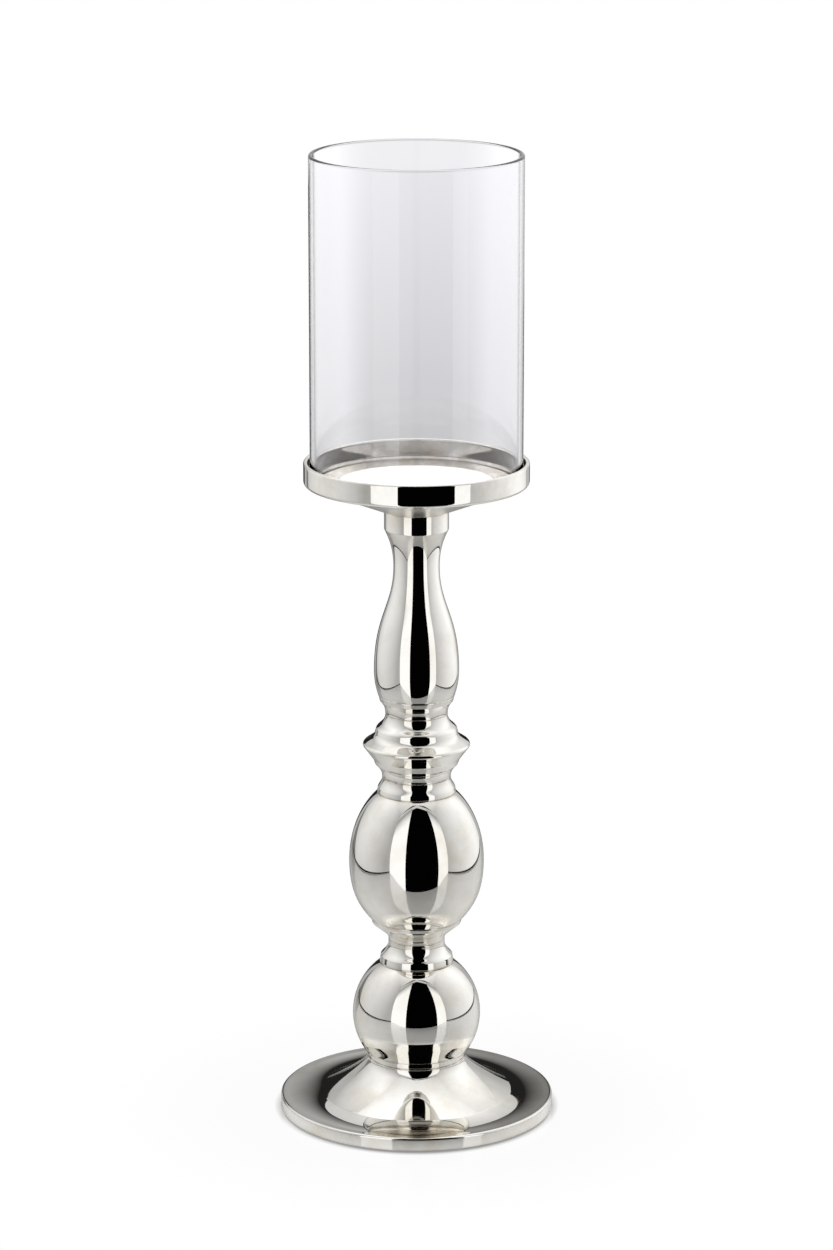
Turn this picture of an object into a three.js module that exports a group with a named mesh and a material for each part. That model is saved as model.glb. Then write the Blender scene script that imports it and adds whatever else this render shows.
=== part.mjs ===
import * as THREE from 'three';

// Hurricane lantern: a clear glass cylinder stands in a rimmed plate on top of a stem of turned
// and spun pieces, which one tie rod clamps to a flared, weighted foot.
// Millimetres, +Z up, with the origin on the axis at the underside of the felt.

// Facets round the axis, and steps along the outlines: beads, half rounds and long curves
const FACETS = 24;
const WIDE_FACETS = 36;
const FASTENER_FACETS = 16;
const BEAD_STEPS = 3;
const ROUND_STEPS = 4;
const BODY_STEPS = 8;
const INSIDE_STEPS = 5;

// Clearances
const SEAM = 0.2;
const BORE_CLEARANCE = 0.4;
const SPIGOT_CLEARANCE = 0.3;
const GLASS_CLEARANCE = 1.2;
const COVER_CLEARANCE = 0.4;
const BALLAST_CLEARANCE = 0.8;
const SOCKET_TOOL_CLEARANCE = 4.5;
const BOSS_END_CLEARANCE = 3;

// Tie rod, nut and washers (M8) and the spigots that centre each piece on the one below
const ROD_RADIUS = 4;
const ROD_TAIL = 3;
const ROD_BOSS_ENGAGEMENT = 11;
const NUT_WALL = 2.1;
const NUT_HEIGHT = 6.5;
const LOCK_WASHER_WIDTH = 2.2;
const LOCK_WASHER_THICKNESS = 2;
const LOCK_WASHER_SPLIT = 2;
const WASHER_WIDTH = 7.6;
const WASHER_THICKNESS = 1.6;
const SPIGOT_WALL = 3.6;
const SPIGOT_HEIGHT = 2.4;
const SOCKET_ROOF = 2;

// Sheet thickness of the spun pieces
const STEM_WALL = 1.5;
const STEM_TOP_WEB = 2.5;

// Felt, bottom cover and ballast
const FELT_THICKNESS = 1.6;
const FELT_PROUD = 0.5;
const COVER_THICKNESS = 1.2;
const BALLAST_HEIGHT = 9;
const BALLAST_BORE_MARGIN = 3;

// Foot: an upright rim, a lip that falls to a trough, a hollow cone and a short neck.
// The cone's bend is placed as shares of its reach and of its drop.
const FOOT_RADIUS = 78.9;
const FOOT_RIM_HEIGHT = 7.9;
const FOOT_RIM_ROUND = 1.4;
const FOOT_LIP_WIDTH = 10.9;
const FOOT_LIP_FALL = 0.7;
const FOOT_TROUGH_WIDTH = 12.9;
const FOOT_TROUGH_DEPTH = 0.55;
const FOOT_TROUGH_RISE = 2.15;
const FOOT_CONE_BEND_REACH = 0.38;
const FOOT_CONE_BEND_DROP = 0.53;
const FOOT_NECK_REACH = 2.6;
const FOOT_NECK_HEIGHT = 4.6;
const FOOT_TOP_RADIUS = 28;
const FOOT_HEIGHT = 30.1;
const FOOT_WALL = 1.5;
const FOOT_WALL_INSET = 0.8;
const FOOT_WALL_DROP = 1.3;
const FOOT_WEB = 2.5;

// Foot ring: a plain band that draws in a little
const FOOT_RING_SETBACK = 0.2;
const FOOT_RING_TAPER = 0.5;
const FOOT_RING_HEIGHT = 3.5;

// Lower ball: an ellipsoid that draws in to its two seats, where it is cut off
const BALL_RADIUS = 36.85;
const BALL_HALF_HEIGHT = 37.5;
const BALL_BOTTOM_DRAW = 7.45;
const BALL_TOP_DRAW = 15.95;

// Lower knop: a band, a rounded shoulder and a cove that draws in to a neck.
// Slopes, here and below, are the rise over the reach where a curve turns.
const KNOP_BAND_PROUD = 0.4;
const KNOP_BAND_TAPER = 0.6;
const KNOP_BAND_HEIGHT = 4;
const KNOP_SHOULDER_REACH = 1.7;
const KNOP_SHOULDER_HEIGHT = 1.95;
const KNOP_SLOPE = 1;
const KNOP_COVE_HEIGHT = 5.55;
const KNOP_NECK_RADIUS = 16.2;
const KNOP_NECK_HEIGHT = 1.9;

// Ovoid foot: a neck, a trumpet, a cone and a rounded edge under a band
const OVOID_FOOT_NECK_HEIGHT = 0.6;
const OVOID_FOOT_TRUMPET_REACH = 4.15;
const OVOID_FOOT_TRUMPET_HEIGHT = 5.6;
const OVOID_FOOT_CONE_HEIGHT = 3.6;
const OVOID_FOOT_EDGE_REACH = 0.9;
const OVOID_FOOT_EDGE_HEIGHT = 1.5;
const OVOID_FOOT_BAND_TAPER = 0.5;
const OVOID_FOOT_BAND_HEIGHT = 1.7;
const OVOID_FOOT_SETBACK = 0.2;

// Ovoid: a full lower half, drawn by the runs of its curve's two ends, under half an ellipsoid
const OVOID_RADIUS = 38.7;
const OVOID_BELLY_HEIGHT = 34.6;
const OVOID_BELLY_RUN = 18;
const OVOID_BOTTOM_REACH = 7.3;
const OVOID_BOTTOM_RUN = 8;
const OVOID_UPPER_HALF_HEIGHT = 49.9;
const OVOID_BOTTOM_DRAW = 12.2;
const OVOID_TOP_DRAW = 16.1;

// Ovoid collar: a band, a rounded shoulder and a cove
const OVOID_COLLAR_BAND_TAPER = 0.45;
const OVOID_COLLAR_BAND_HEIGHT = 2.6;
const OVOID_COLLAR_SHOULDER_REACH = 1.25;
const OVOID_COLLAR_SHOULDER_HEIGHT = 2.35;
const OVOID_COLLAR_SLOPE = 1.57;
const OVOID_COLLAR_COVE_HEIGHT = 3.85;
const OVOID_COLLAR_NECK_RADIUS = 19.6;

// Flange knop: a trumpet, a lip, a flange with a rounded edge, and a bell
const FLANGE_TRUMPET_SLOPE = 0.9;
const FLANGE_LIP_RADIUS = 23.7;
const FLANGE_LIP_FOOT = 7.9;
const FLANGE_LIP_FLARE = 1.15;
const FLANGE_LIP_HEIGHT = 3.1;
const FLANGE_RADIUS = 30.6;
const FLANGE_EDGE_ROUND = 0.7;
const FLANGE_UNDERSIDE_HEIGHT = 6.8;
const FLANGE_EDGE_HEIGHT = 2.6;
const FLANGE_TOP_REACH = 3.3;
const FLANGE_TOP_HEIGHT = 2.2;
const BELL_RADIUS = 23.6;
const BELL_FOOT_HEIGHT = 4;
const BELL_BAND_TAPER = 0.4;
const BELL_BAND_HEIGHT = 1.5;
const BELL_SHOULDER_REACH = 2.2;
const BELL_SHOULDER_HEIGHT = 2.8;
const BELL_SLOPE = 0.81;
const BELL_COVE_HEIGHT = 6.3;
const BELL_NECK_RADIUS = 17.75;

// Vase ring: a trumpet under a band, set back from the vase's seat
const VASE_RING_TRUMPET_REACH = 3.15;
const VASE_RING_TRUMPET_HEIGHT = 7.7;
const VASE_RING_SLOPE = 0.98;
const VASE_RING_SETBACK = 0.15;
const VASE_RING_BAND_HEIGHT = 3;

// Vase column: a belly that draws in to a throat, flares and ends in a collar
const VASE_BOTTOM_RADIUS = 21.8;
const VASE_BELLY_RADIUS = 24.2;
const VASE_BELLY_HEIGHT = 14.4;
const VASE_THROAT_RADIUS = 13.05;
const VASE_THROAT_HEIGHT = 75.2;
const VASE_BELLY_RUN = 32;
const VASE_THROAT_RUN = 23;
const VASE_FLARE_HEIGHT = 21.8;
const VASE_FLARE_RUN = 12;
const COLLAR_RADIUS = 18.3;
const COLLAR_HEIGHT = 10.8;

// Boss under the plate, which takes the rod
const BOSS_WALL = 4.6;
const BOSS_ROOF = 2.8;

// Plate: a flat well, a cone, a ledge for the glass and a rim
const PLATE_SHEET = 1.5;
const PLATE_WELL_RADIUS = 19.6;
const PLATE_CONE_RISE = 14.8;
const PLATE_RIM_HEIGHT = 13.2;
const PLATE_RIM_WALL = 2.5;
const PLATE_RIM_ROUND = 2.4;
const PLATE_LEDGE_MARGIN = 0.8;

// Glass
const GLASS_RADIUS = 60;
const GLASS_WALL = 2.5;
const GLASS_HEIGHT = 185;

// Finishes
const silver = new THREE.MeshStandardMaterial({ color: 0xdedbd4, metalness: 1, roughness: 0.06 });
const brass = new THREE.MeshStandardMaterial({ color: 0xb89a56, metalness: 1, roughness: 0.3 });
const steel = new THREE.MeshStandardMaterial({ color: 0xa9abad, metalness: 1, roughness: 0.35 });
const iron = new THREE.MeshStandardMaterial({ color: 0x4a4a4c, metalness: 0.8, roughness: 0.7 });
const felt = new THREE.MeshStandardMaterial({ color: 0x24262a, metalness: 0, roughness: 1 });
const clearGlass = new THREE.MeshStandardMaterial({
  color: 0xe6e8ee, metalness: 0, roughness: 0.03, transparent: true, opacity: 0.25,
});

const QUARTER_TURN = Math.PI / 2;
const boreRadius = ROD_RADIUS + BORE_CLEARANCE;
const washerRadius = boreRadius + WASHER_WIDTH;
const nutCorner = (boreRadius + NUT_WALL) / Math.cos(Math.PI / 6);
const spigotRadius = boreRadius + SPIGOT_WALL;
const socketRadius = spigotRadius + SPIGOT_CLEARANCE;
const socketDepth = SPIGOT_HEIGHT + SEAM;
const bossRadius = boreRadius + BOSS_WALL;
const bossHeight = ROD_BOSS_ENGAGEMENT + SEAM + BOSS_ROOF;
const ballBottomRadius = BALL_RADIUS - BALL_BOTTOM_DRAW;
const ballTopRadius = BALL_RADIUS - BALL_TOP_DRAW;
const ovoidBottomRadius = OVOID_RADIUS - OVOID_BOTTOM_DRAW;
const ovoidTopRadius = OVOID_RADIUS - OVOID_TOP_DRAW;

// Outlines are lists of points (radius, height), drawn upwards on the outside of a piece.
const at = (radius, height) => new THREE.Vector2(radius, height);

function arc(radius, height, reach, rise, from, to, steps) {
  return new THREE.EllipseCurve(radius, height, reach, rise, from, to, from > to).getPoints(steps);
}

function bend(start, control, end, steps) {
  return new THREE.QuadraticBezierCurve(start, control, end).getPoints(steps);
}

// A cove that opens upwards from a neck to an edge, which it meets at a slope
function trumpet(neck, edge, slope) {
  return bend(neck, at(neck.x, edge.y - (edge.x - neck.x) * slope), edge, BEAD_STEPS);
}

// The top of a band that rounds over at a slope and draws in through a cove to a neck
function shoulder(band, turn, neck, slope) {
  const over = at(band.x, turn.y - (band.x - turn.x) * slope);
  const under = at(neck.x, turn.y + (turn.x - neck.x) * slope);
  return [...bend(band, over, turn, BEAD_STEPS), ...bend(turn, under, neck, BEAD_STEPS).slice(1)];
}

// Radius of an outline drawn downwards, where it passes a height
function radiusAt(outline, height) {
  const below = outline.findIndex((p) => p.y <= height);
  const [high, low] = [outline[below - 1], outline[below]];
  return high.clone().lerp(low, (high.y - height) / (high.y - low.y)).x;
}

// Where an ellipse of this half width and half height is this wide, as an angle and as a height
const ellipseAngle = (halfWidth, radius) => Math.acos(radius / halfWidth);
const ellipseHeight = (halfWidth, halfHeight, radius) =>
  halfHeight * Math.sin(ellipseAngle(halfWidth, radius));

function mesh(name, geometry, material) {
  const piece = new THREE.Mesh(geometry, material);
  piece.name = name;
  return piece;
}

// Revolves an outline about +Z. One that starts off the axis is closed on itself.
function revolve(name, outline, material, facets = FACETS) {
  const loop = outline[0].x > 0 ? [...outline, outline[0]] : outline;
  return mesh(name, new THREE.LatheGeometry(loop, facets).rotateX(QUARTER_TURN), material);
}

function ring(name, inner, outer, height, material, facets = FACETS) {
  const outline = [at(inner, 0), at(outer, 0), at(outer, height), at(inner, height)];
  return revolve(name, outline, material, facets);
}

// Top of a stem piece: a seat, and a spigot that stands up round the rod
function spigotTop(height) {
  const tip = height + SPIGOT_HEIGHT;
  return [at(spigotRadius, height), at(spigotRadius, tip), at(boreRadius, tip)];
}

// Underside of a stem piece: a socket for the spigot below, roofed by the bore for the rod
function socketBottom() {
  return [at(boreRadius, socketDepth), at(socketRadius, socketDepth), at(socketRadius, 0)];
}

// A stem piece turned from the solid
function turned(name, outline) {
  const height = outline[outline.length - 1].y;
  return revolve(name, [...outline, ...spigotTop(height), ...socketBottom()], silver);
}

// A stem piece spun from sheet: the inside outline is drawn downwards between its two end webs
function spun(name, outline, inside) {
  const height = outline[outline.length - 1].y;
  const roof = at(boreRadius, inside[0].y);
  const floor = at(boreRadius, inside[inside.length - 1].y);
  return revolve(name, [...outline, ...spigotTop(height), roof, ...inside, floor, ...socketBottom()], silver);
}

// The stretch of an inside wall between two webs, drawn downwards
function hollow(wall, floor, roof) {
  const downwards = [...wall].reverse();
  const inside = downwards.filter((p) => p.y > floor && p.y < roof);
  return [at(radiusAt(downwards, roof), roof), ...inside, at(radiusAt(downwards, floor), floor)];
}

// Foot: the lip's inner edge, the cone between its foot and its head, and the bends that join them
const lipEnd = at(FOOT_RADIUS - FOOT_LIP_WIDTH, FOOT_RIM_HEIGHT - FOOT_LIP_FALL);
const coneFoot = at(lipEnd.x - FOOT_TROUGH_WIDTH, lipEnd.y + FOOT_TROUGH_RISE);
const coneHead = at(FOOT_TOP_RADIUS + FOOT_NECK_REACH, FOOT_HEIGHT - FOOT_NECK_HEIGHT);
const coneBend = at(
  coneHead.x + FOOT_CONE_BEND_REACH * (coneFoot.x - coneHead.x),
  coneHead.y - FOOT_CONE_BEND_DROP * (coneHead.y - coneFoot.y),
);
const headSlope = (coneHead.y - coneBend.y) / (coneBend.x - coneHead.x);
const footSlope = (coneBend.y - coneFoot.y) / (coneFoot.x - coneBend.x);
const neckBend = at(FOOT_TOP_RADIUS, coneHead.y + FOOT_NECK_REACH * headSlope);
const troughBottom = lipEnd.y - FOOT_TROUGH_DEPTH;
const troughBend = at(coneFoot.x + (coneFoot.y - troughBottom) / footSlope, troughBottom);
const footUnderside = [
  ...bend(coneHead, coneBend, coneFoot, INSIDE_STEPS),
  ...bend(coneFoot, troughBend, lipEnd, BEAD_STEPS).slice(1),
].map((p) => at(p.x - FOOT_WALL_INSET, p.y - FOOT_WALL_DROP));

function footShell() {
  const rimInside = FOOT_RADIUS - FOOT_WALL;
  const round = FOOT_RIM_ROUND;
  const webBottom = FOOT_HEIGHT - FOOT_WEB;
  const outline = [
    at(rimInside, 0),
    at(FOOT_RADIUS, 0),
    ...arc(FOOT_RADIUS - round, FOOT_RIM_HEIGHT - round, round, round, 0, QUARTER_TURN, BEAD_STEPS),
    ...bend(lipEnd, troughBend, coneFoot, ROUND_STEPS),
    ...bend(coneFoot, coneBend, coneHead, INSIDE_STEPS).slice(1),
    ...bend(coneHead, neckBend, at(FOOT_TOP_RADIUS, FOOT_HEIGHT), BEAD_STEPS).slice(1),
    ...spigotTop(FOOT_HEIGHT),
    at(boreRadius, webBottom),
    at(FOOT_TOP_RADIUS - FOOT_WALL, webBottom),
    ...footUnderside,
    at(rimInside, FOOT_RIM_HEIGHT - FOOT_WALL),
  ];
  return revolve('foot_shell', outline, silver, WIDE_FACETS);
}

function footRing() {
  const bottom = FOOT_TOP_RADIUS - FOOT_RING_SETBACK;
  return turned('foot_ring', [at(bottom, 0), at(bottom - FOOT_RING_TAPER, FOOT_RING_HEIGHT)]);
}

// Heights of the ball's middle and top above its bottom seat
const ballMiddle = ellipseHeight(BALL_RADIUS, BALL_HALF_HEIGHT, ballBottomRadius);
const ballHeight = ballMiddle + ellipseHeight(BALL_RADIUS, BALL_HALF_HEIGHT, ballTopRadius);

function lowerBall() {
  const from = -ellipseAngle(BALL_RADIUS, ballBottomRadius);
  const to = ellipseAngle(BALL_RADIUS, ballTopRadius);
  const innerRadius = BALL_RADIUS - STEM_WALL;
  const innerHeight = BALL_HALF_HEIGHT - STEM_WALL;
  const roofAngle = Math.asin((ballHeight - STEM_TOP_WEB - ballMiddle) / innerHeight);
  const floorAngle = Math.asin((socketDepth + SOCKET_ROOF - ballMiddle) / innerHeight);
  return spun(
    'lower_ball',
    arc(0, ballMiddle, BALL_RADIUS, BALL_HALF_HEIGHT, from, to, BODY_STEPS),
    arc(0, ballMiddle, innerRadius, innerHeight, roofAngle, floorAngle, INSIDE_STEPS),
  );
}

const knopHeight = KNOP_BAND_HEIGHT + KNOP_SHOULDER_HEIGHT + KNOP_COVE_HEIGHT + KNOP_NECK_HEIGHT;

function lowerKnop() {
  const bottom = ballTopRadius + KNOP_BAND_PROUD;
  const band = at(bottom - KNOP_BAND_TAPER, KNOP_BAND_HEIGHT);
  const turn = at(band.x - KNOP_SHOULDER_REACH, band.y + KNOP_SHOULDER_HEIGHT);
  const neck = at(KNOP_NECK_RADIUS, turn.y + KNOP_COVE_HEIGHT);
  return turned('lower_knop', [
    at(bottom, 0),
    ...shoulder(band, turn, neck, KNOP_SLOPE),
    at(KNOP_NECK_RADIUS, knopHeight),
  ]);
}

const ovoidFootHeight = OVOID_FOOT_NECK_HEIGHT + OVOID_FOOT_TRUMPET_HEIGHT + OVOID_FOOT_CONE_HEIGHT
  + OVOID_FOOT_EDGE_HEIGHT + OVOID_FOOT_BAND_HEIGHT;

function ovoidFoot() {
  const top = at(ovoidBottomRadius - OVOID_FOOT_SETBACK, ovoidFootHeight);
  const band = at(top.x - OVOID_FOOT_BAND_TAPER, top.y - OVOID_FOOT_BAND_HEIGHT);
  const edge = at(band.x - OVOID_FOOT_EDGE_REACH, band.y - OVOID_FOOT_EDGE_HEIGHT);
  const neck = at(KNOP_NECK_RADIUS, OVOID_FOOT_NECK_HEIGHT);
  const flare = at(neck.x + OVOID_FOOT_TRUMPET_REACH, neck.y + OVOID_FOOT_TRUMPET_HEIGHT);
  const slope = (edge.y - flare.y) / (edge.x - flare.x);
  const edgeBend = at(band.x, edge.y + OVOID_FOOT_EDGE_REACH * slope);
  return turned('ovoid_foot', [
    at(KNOP_NECK_RADIUS, 0),
    ...trumpet(neck, flare, slope),
    ...bend(edge, edgeBend, band, BEAD_STEPS),
    top,
  ]);
}

// The ovoid's wall, seen at a distance in from its surface
function ovoidWall(inset) {
  const bottom = ovoidBottomRadius - inset;
  const belly = OVOID_RADIUS - inset;
  const upperHeight = OVOID_UPPER_HALF_HEIGHT - inset;
  const lower = new THREE.CubicBezierCurve(
    at(bottom, 0),
    at(bottom + OVOID_BOTTOM_REACH, OVOID_BOTTOM_RUN),
    at(belly, OVOID_BELLY_HEIGHT - OVOID_BELLY_RUN),
    at(belly, OVOID_BELLY_HEIGHT),
  );
  const to = ellipseAngle(belly, ovoidTopRadius - inset);
  return [
    ...lower.getPoints(INSIDE_STEPS),
    ...arc(0, OVOID_BELLY_HEIGHT, belly, upperHeight, 0, to, INSIDE_STEPS).slice(1),
  ];
}

const ovoidUpper = ellipseHeight(OVOID_RADIUS, OVOID_UPPER_HALF_HEIGHT, ovoidTopRadius);
const ovoidHeight = OVOID_BELLY_HEIGHT + ovoidUpper;

function ovoidBody() {
  const inside = hollow(ovoidWall(STEM_WALL), socketDepth + SOCKET_ROOF, ovoidHeight - STEM_TOP_WEB);
  return spun('ovoid_body', ovoidWall(0), inside);
}

const ovoidCollarHeight = OVOID_COLLAR_BAND_HEIGHT + OVOID_COLLAR_SHOULDER_HEIGHT
  + OVOID_COLLAR_COVE_HEIGHT;

function ovoidCollar() {
  const band = at(ovoidTopRadius - OVOID_COLLAR_BAND_TAPER, OVOID_COLLAR_BAND_HEIGHT);
  const turn = at(band.x - OVOID_COLLAR_SHOULDER_REACH, band.y + OVOID_COLLAR_SHOULDER_HEIGHT);
  const neck = at(OVOID_COLLAR_NECK_RADIUS, ovoidCollarHeight);
  return turned('ovoid_collar', [at(ovoidTopRadius, 0), ...shoulder(band, turn, neck, OVOID_COLLAR_SLOPE)]);
}

const flangeHeight = FLANGE_LIP_FOOT + FLANGE_LIP_HEIGHT + FLANGE_UNDERSIDE_HEIGHT + FLANGE_EDGE_HEIGHT
  + FLANGE_TOP_HEIGHT;
const bellHeight = BELL_FOOT_HEIGHT + BELL_BAND_HEIGHT + BELL_SHOULDER_HEIGHT + BELL_COVE_HEIGHT;

function flangeKnop() {
  const lip = at(FLANGE_LIP_RADIUS, FLANGE_LIP_FOOT);
  const lipTop = at(lip.x + FLANGE_LIP_FLARE, lip.y + FLANGE_LIP_HEIGHT);
  const edge = at(FLANGE_RADIUS - FLANGE_EDGE_ROUND, lipTop.y + FLANGE_UNDERSIDE_HEIGHT);
  const edgeTop = at(edge.x, edge.y + FLANGE_EDGE_HEIGHT);
  const edgeBend = at(FLANGE_RADIUS + FLANGE_EDGE_ROUND, edge.y + FLANGE_EDGE_HEIGHT / 2);
  const bellFoot = at(edgeTop.x - FLANGE_TOP_REACH, flangeHeight);
  const bellSlope = FLANGE_TOP_HEIGHT / FLANGE_TOP_REACH;
  const bell = at(BELL_RADIUS, bellFoot.y + BELL_FOOT_HEIGHT);
  const bellBend = at(bell.x, bellFoot.y + (bellFoot.x - bell.x) * bellSlope);
  const band = at(bell.x - BELL_BAND_TAPER, bell.y + BELL_BAND_HEIGHT);
  const turn = at(band.x - BELL_SHOULDER_REACH, band.y + BELL_SHOULDER_HEIGHT);
  const neck = at(BELL_NECK_RADIUS, turn.y + BELL_COVE_HEIGHT);
  return turned('flange_knop', [
    ...trumpet(at(OVOID_COLLAR_NECK_RADIUS, 0), lip, FLANGE_TRUMPET_SLOPE),
    lipTop,
    ...bend(edge, edgeBend, edgeTop, ROUND_STEPS),
    ...bend(bellFoot, bellBend, bell, BEAD_STEPS),
    ...shoulder(band, turn, neck, BELL_SLOPE),
  ]);
}

const vaseRingHeight = VASE_RING_TRUMPET_HEIGHT + VASE_RING_BAND_HEIGHT;

function vaseRing() {
  const lip = at(BELL_NECK_RADIUS + VASE_RING_TRUMPET_REACH, VASE_RING_TRUMPET_HEIGHT);
  return turned('vase_ring', [
    ...trumpet(at(BELL_NECK_RADIUS, 0), lip, VASE_RING_SLOPE),
    at(VASE_BOTTOM_RADIUS - VASE_RING_SETBACK, vaseRingHeight),
  ]);
}

// The vase's wall, seen at a distance in from its surface
function vaseWall(inset, steps) {
  const bottom = VASE_BOTTOM_RADIUS - inset;
  const belly = VASE_BELLY_RADIUS - inset;
  const throat = VASE_THROAT_RADIUS - inset;
  const flareEnd = at(COLLAR_RADIUS - inset, VASE_THROAT_HEIGHT + VASE_FLARE_HEIGHT);
  const body = new THREE.CubicBezierCurve(
    at(belly, VASE_BELLY_HEIGHT),
    at(belly, VASE_BELLY_HEIGHT + VASE_BELLY_RUN),
    at(throat, VASE_THROAT_HEIGHT - VASE_THROAT_RUN),
    at(throat, VASE_THROAT_HEIGHT),
  );
  const flareControl = at(throat, VASE_THROAT_HEIGHT + VASE_FLARE_RUN);
  return [
    ...bend(at(bottom, 0), at(belly, VASE_BELLY_HEIGHT / 2), at(belly, VASE_BELLY_HEIGHT), BEAD_STEPS),
    ...body.getPoints(steps).slice(1),
    ...bend(at(throat, VASE_THROAT_HEIGHT), flareControl, flareEnd, BEAD_STEPS).slice(1),
  ];
}

const vaseHeight = VASE_THROAT_HEIGHT + VASE_FLARE_HEIGHT + COLLAR_HEIGHT;

function vaseColumn() {
  const bossBore = bossRadius + SPIGOT_CLEARANCE;
  const webTop = socketDepth + SOCKET_ROOF;
  const collarFloor = vaseHeight - bossHeight - BOSS_END_CLEARANCE;
  return revolve('vase_column', [
    ...vaseWall(0, BODY_STEPS),
    at(COLLAR_RADIUS, vaseHeight),
    at(bossBore, vaseHeight),
    at(bossBore, collarFloor),
    ...hollow(vaseWall(STEM_WALL, INSIDE_STEPS), webTop, collarFloor),
    at(boreRadius, webTop),
    ...socketBottom(),
  ], silver);
}

function plateBoss() {
  return revolve('plate_boss', [
    at(0, -BOSS_ROOF),
    at(boreRadius, -BOSS_ROOF),
    at(boreRadius, -bossHeight),
    at(bossRadius, -bossHeight),
    at(bossRadius, 0),
    at(0, 0),
  ], brass);
}

const rimInside = GLASS_RADIUS + GLASS_CLEARANCE;
const rimOutside = rimInside + PLATE_RIM_WALL;
const ledgeInside = GLASS_RADIUS - GLASS_WALL - PLATE_LEDGE_MARGIN;
const plateHeight = PLATE_CONE_RISE + PLATE_RIM_HEIGHT;
const ledgeTop = PLATE_CONE_RISE + PLATE_SHEET;

function candlePlate() {
  const coneAngle = Math.atan2(PLATE_CONE_RISE, ledgeInside - PLATE_WELL_RADIUS);
  const mitre = PLATE_SHEET * Math.tan(coneAngle / 2);
  const rimRound = PLATE_RIM_WALL / 2;
  const rimShoulder = plateHeight - rimRound;
  const cornerRadius = rimOutside - PLATE_RIM_ROUND;
  const cornerHeight = PLATE_CONE_RISE + PLATE_RIM_ROUND;
  return revolve('candle_plate', [
    at(0, 0),
    at(PLATE_WELL_RADIUS, 0),
    at(ledgeInside, PLATE_CONE_RISE),
    ...arc(cornerRadius, cornerHeight, PLATE_RIM_ROUND, PLATE_RIM_ROUND, -QUARTER_TURN, 0, BEAD_STEPS),
    ...arc(rimInside + rimRound, rimShoulder, rimRound, rimRound, 0, Math.PI, ROUND_STEPS),
    at(rimInside, ledgeTop),
    at(ledgeInside - mitre, ledgeTop),
    at(PLATE_WELL_RADIUS - mitre, PLATE_SHEET),
    at(0, PLATE_SHEET),
  ], silver, WIDE_FACETS);
}

function glassCylinder() {
  const edge = GLASS_WALL / 2;
  const middle = GLASS_RADIUS - edge;
  return revolve('glass_cylinder', [
    ...arc(middle, edge, edge, edge, -Math.PI, 0, ROUND_STEPS),
    ...arc(middle, GLASS_HEIGHT - edge, edge, edge, 0, Math.PI, ROUND_STEPS),
  ], clearGlass, WIDE_FACETS);
}

function feltPad(radius) {
  const outline = [at(0, 0), at(radius, 0), at(radius, FELT_THICKNESS), at(0, FELT_THICKNESS)];
  return revolve('felt_pad', outline, felt, WIDE_FACETS);
}

function rodNut() {
  const sides = Array.from({ length: 6 }, (_, i) => i * Math.PI / 3);
  const shape = new THREE.Shape(sides.map((a) => at(nutCorner * Math.cos(a), nutCorner * Math.sin(a))));
  shape.holes.push(new THREE.Path().absarc(0, 0, boreRadius, 0, 2 * Math.PI, true));
  const options = { depth: NUT_HEIGHT, bevelEnabled: false, curveSegments: FASTENER_FACETS / 2 };
  return mesh('rod_nut', new THREE.ExtrudeGeometry(shape, options), steel);
}

// A split spring washer, closed flat
function lockWasher() {
  const outer = boreRadius + LOCK_WASHER_WIDTH;
  const half = LOCK_WASHER_SPLIT / 2 / outer;
  const shape = new THREE.Shape();
  shape.absarc(0, 0, outer, half, 2 * Math.PI - half, false);
  shape.absarc(0, 0, boreRadius, 2 * Math.PI - half, half, true);
  const options = { depth: LOCK_WASHER_THICKNESS, bevelEnabled: false, curveSegments: FASTENER_FACETS };
  return mesh('lock_washer', new THREE.ExtrudeGeometry(shape, options), steel);
}

function tieRod(length) {
  const outline = [at(0, 0), at(ROD_RADIUS, 0), at(ROD_RADIUS, length), at(0, length)];
  return revolve('tie_rod', outline, steel, FASTENER_FACETS);
}

const lantern = new THREE.Group();

function place(piece, height) {
  piece.position.z = height;
  lantern.add(piece);
}

// Foot, and what closes and weighs it
const footBottom = FELT_PROUD;
const footTop = footBottom + FOOT_HEIGHT;
const coverRadius = FOOT_RADIUS - FOOT_WALL - COVER_CLEARANCE;
const coverBottom = FELT_THICKNESS + SEAM;
const coverHole = nutCorner + SOCKET_TOOL_CLEARANCE;
const ballastBore = washerRadius + BALLAST_BORE_MARGIN;
const ballastBottom = coverBottom + COVER_THICKNESS + SEAM;
const ballastTop = ballastBottom + BALLAST_HEIGHT - footBottom + BALLAST_CLEARANCE;
const ballastRadius = radiusAt(footUnderside, ballastTop);
place(feltPad(coverRadius), 0);
place(ring('bottom_cover', coverHole, coverRadius, COVER_THICKNESS, steel, WIDE_FACETS), coverBottom);
place(ring('ballast_ring', ballastBore, ballastRadius, BALLAST_HEIGHT, iron), ballastBottom);
place(footShell(), footBottom);

// Nut and washers, drawn up against the underside of the foot's web
const washerBottom = footTop - FOOT_WEB - SEAM - WASHER_THICKNESS;
const lockWasherBottom = washerBottom - SEAM - LOCK_WASHER_THICKNESS;
const nutBottom = lockWasherBottom - SEAM - NUT_HEIGHT;
place(ring('rod_washer', boreRadius, washerRadius, WASHER_THICKNESS, steel, FASTENER_FACETS), washerBottom);
place(lockWasher(), lockWasherBottom);
place(rodNut(), nutBottom);

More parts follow.
